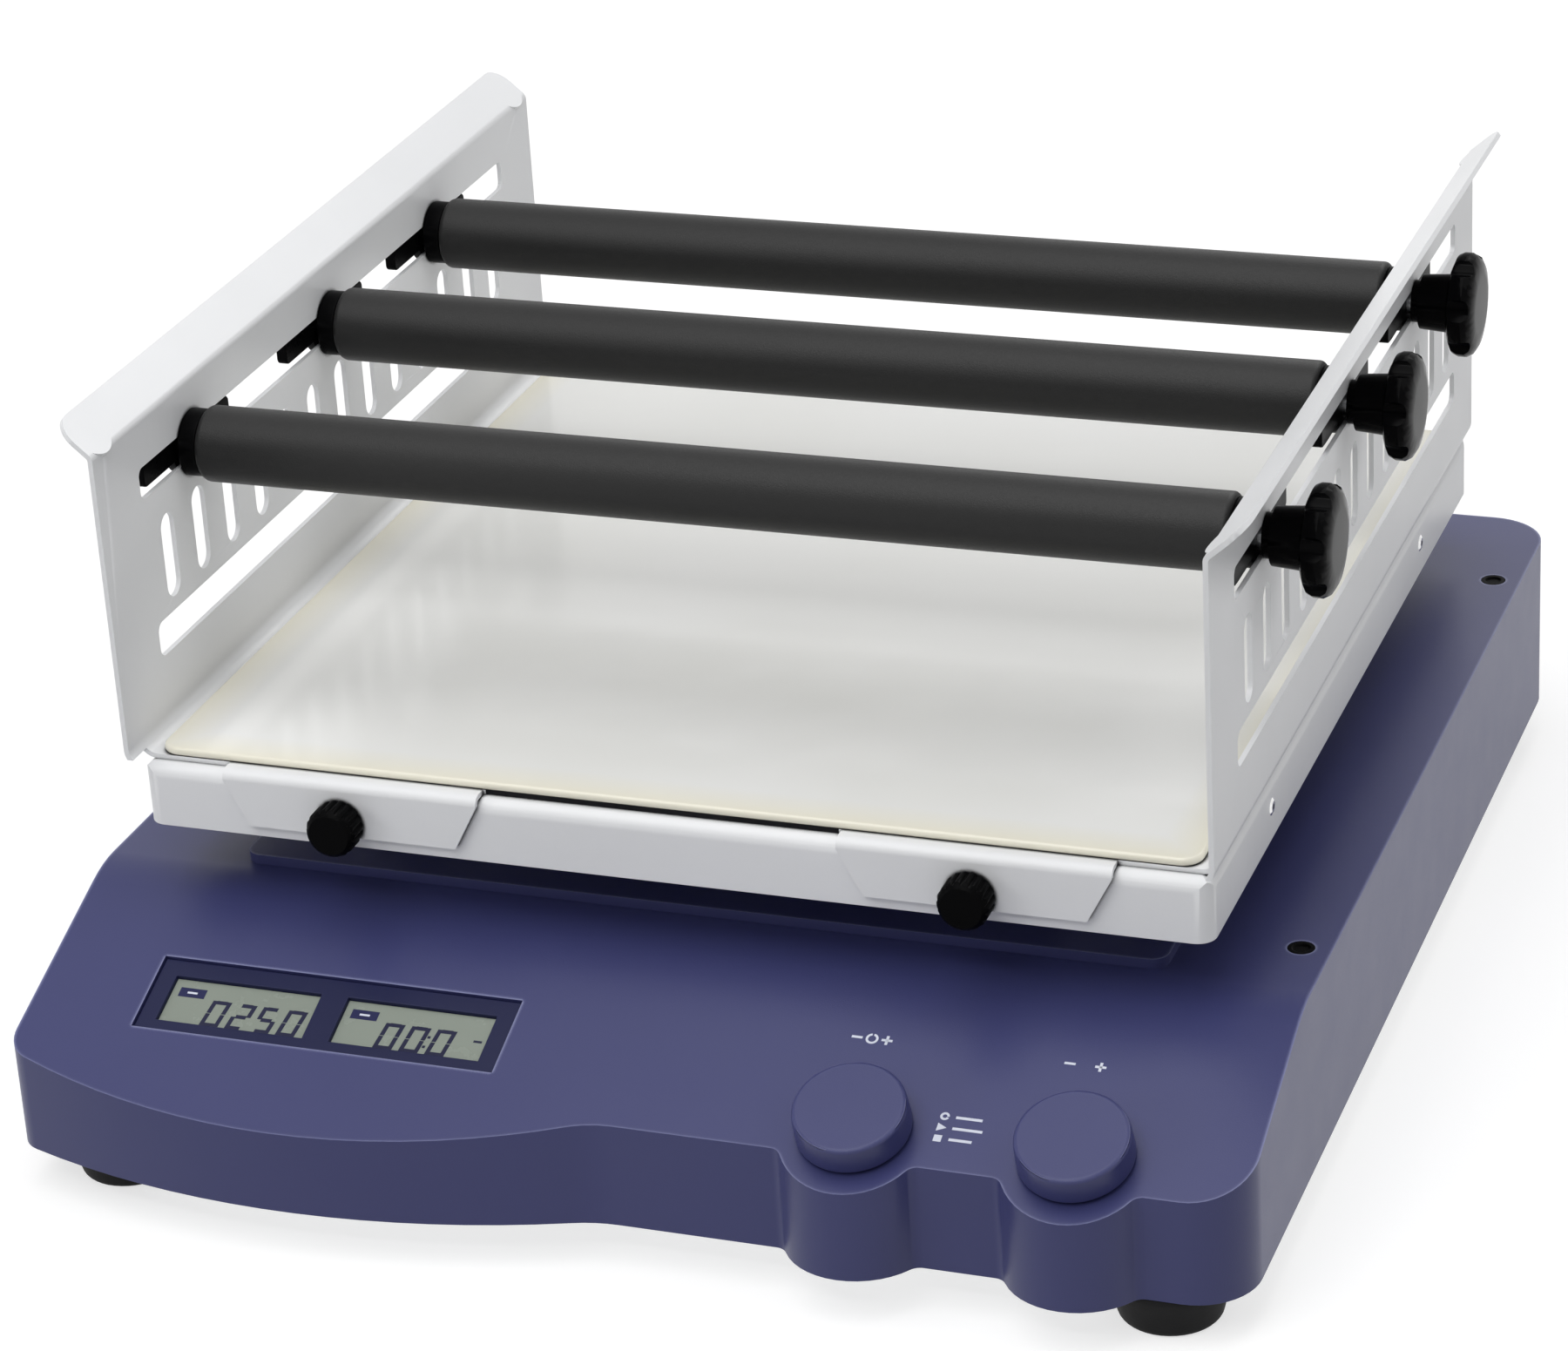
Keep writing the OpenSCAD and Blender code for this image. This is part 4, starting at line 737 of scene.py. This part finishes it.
def add_stage():
    """A plain floor that reads as white, with the object's shadow on it."""
    bpy.ops.mesh.primitive_plane_add(size=FLOOR_SIZE, location=(0, 0, 0))
    floor = bpy.context.object
    floor.name = "floor"
    m = Mat("floor")
    m.set(Roughness=0.9, Specular_IOR_Level=0.0)
    m.shader.inputs["Base Color"].default_value = (FLOOR_TONE, FLOOR_TONE, FLOOR_TONE, 1)
    m.shader.inputs["Emission Color"].default_value = WHITE
    coord = m.add("ShaderNodeTexCoord")
    away = m.add("ShaderNodeVectorMath", operation="LENGTH")
    m.join(coord.outputs["Object"], away.inputs[0])
    glow = m.add("ShaderNodeMapRange", From_Min=NEAR_GLOW[0], From_Max=FAR_GLOW[0],
                 To_Min=NEAR_GLOW[1], To_Max=FAR_GLOW[1])
    m.join(away.outputs["Value"], glow.inputs["Value"])
    shown = m.sum("MULTIPLY", seen_rays(m.tree), glow.outputs["Result"])
    m.join(shown, m.shader.inputs["Emission Strength"])
    floor.data.materials.append(m.material)


def add_world():
    """A plain sky: a low level of light, and white for the rays that see it."""
    world = bpy.data.worlds.new("studio")
    bpy.context.scene.world = world
    world.use_nodes = True
    tree = world.node_tree
    tree.nodes.clear()
    out = tree.nodes.new("ShaderNodeOutputWorld")
    light = tree.nodes.new("ShaderNodeBackground")
    light.inputs["Color"].default_value = WHITE
    light.inputs["Strength"].default_value = SKY_LEVEL
    seen = tree.nodes.new("ShaderNodeBackground")
    seen.inputs["Color"].default_value = WHITE
    seen.inputs["Strength"].default_value = 1.0
    pick = tree.nodes.new("ShaderNodeMixShader")
    tree.links.new(seen_rays(tree), pick.inputs[0])
    tree.links.new(light.outputs[0], pick.inputs[1])
    tree.links.new(seen.outputs[0], pick.inputs[2])
    tree.links.new(pick.outputs[0], out.inputs[0])


AIM = Vector((0, 0, 0.1))


def add_lamp(name, at, size, power):
    """A rectangular lamp aimed at the object; metres and watts."""
    data = bpy.data.lights.new(name, "AREA")
    data.shape = "RECTANGLE"
    data.size, data.size_y = size
    data.energy = power
    lamp = bpy.data.objects.new(name, data)
    bpy.context.scene.collection.objects.link(lamp)
    lamp.location = at
    way = AIM - Vector(at)
    lamp.rotation_euler = way.to_track_quat("-Z", "Y").to_euler()


add_stage()
add_world()

# The key above, one behind, a narrow strip in front, and a fill on each side
add_lamp("key", (-0.2, -0.5, 1.75), (1.3, 2.0), 18.5)
add_lamp("back", (0.3, 1.5, 1.3), (1.0, 0.6), 5)
add_lamp("strip", (0.1, -1.7, 1.7), (1.4, 0.16), 5)
add_lamp("right", (1.35, 0.1, 1.3), (0.9, 0.9), 3.5)
add_lamp("front", (-1.6, -1.5, 0.6), (1.0, 0.6), 5)

bpy.context.scene.view_settings.view_transform = "Standard"
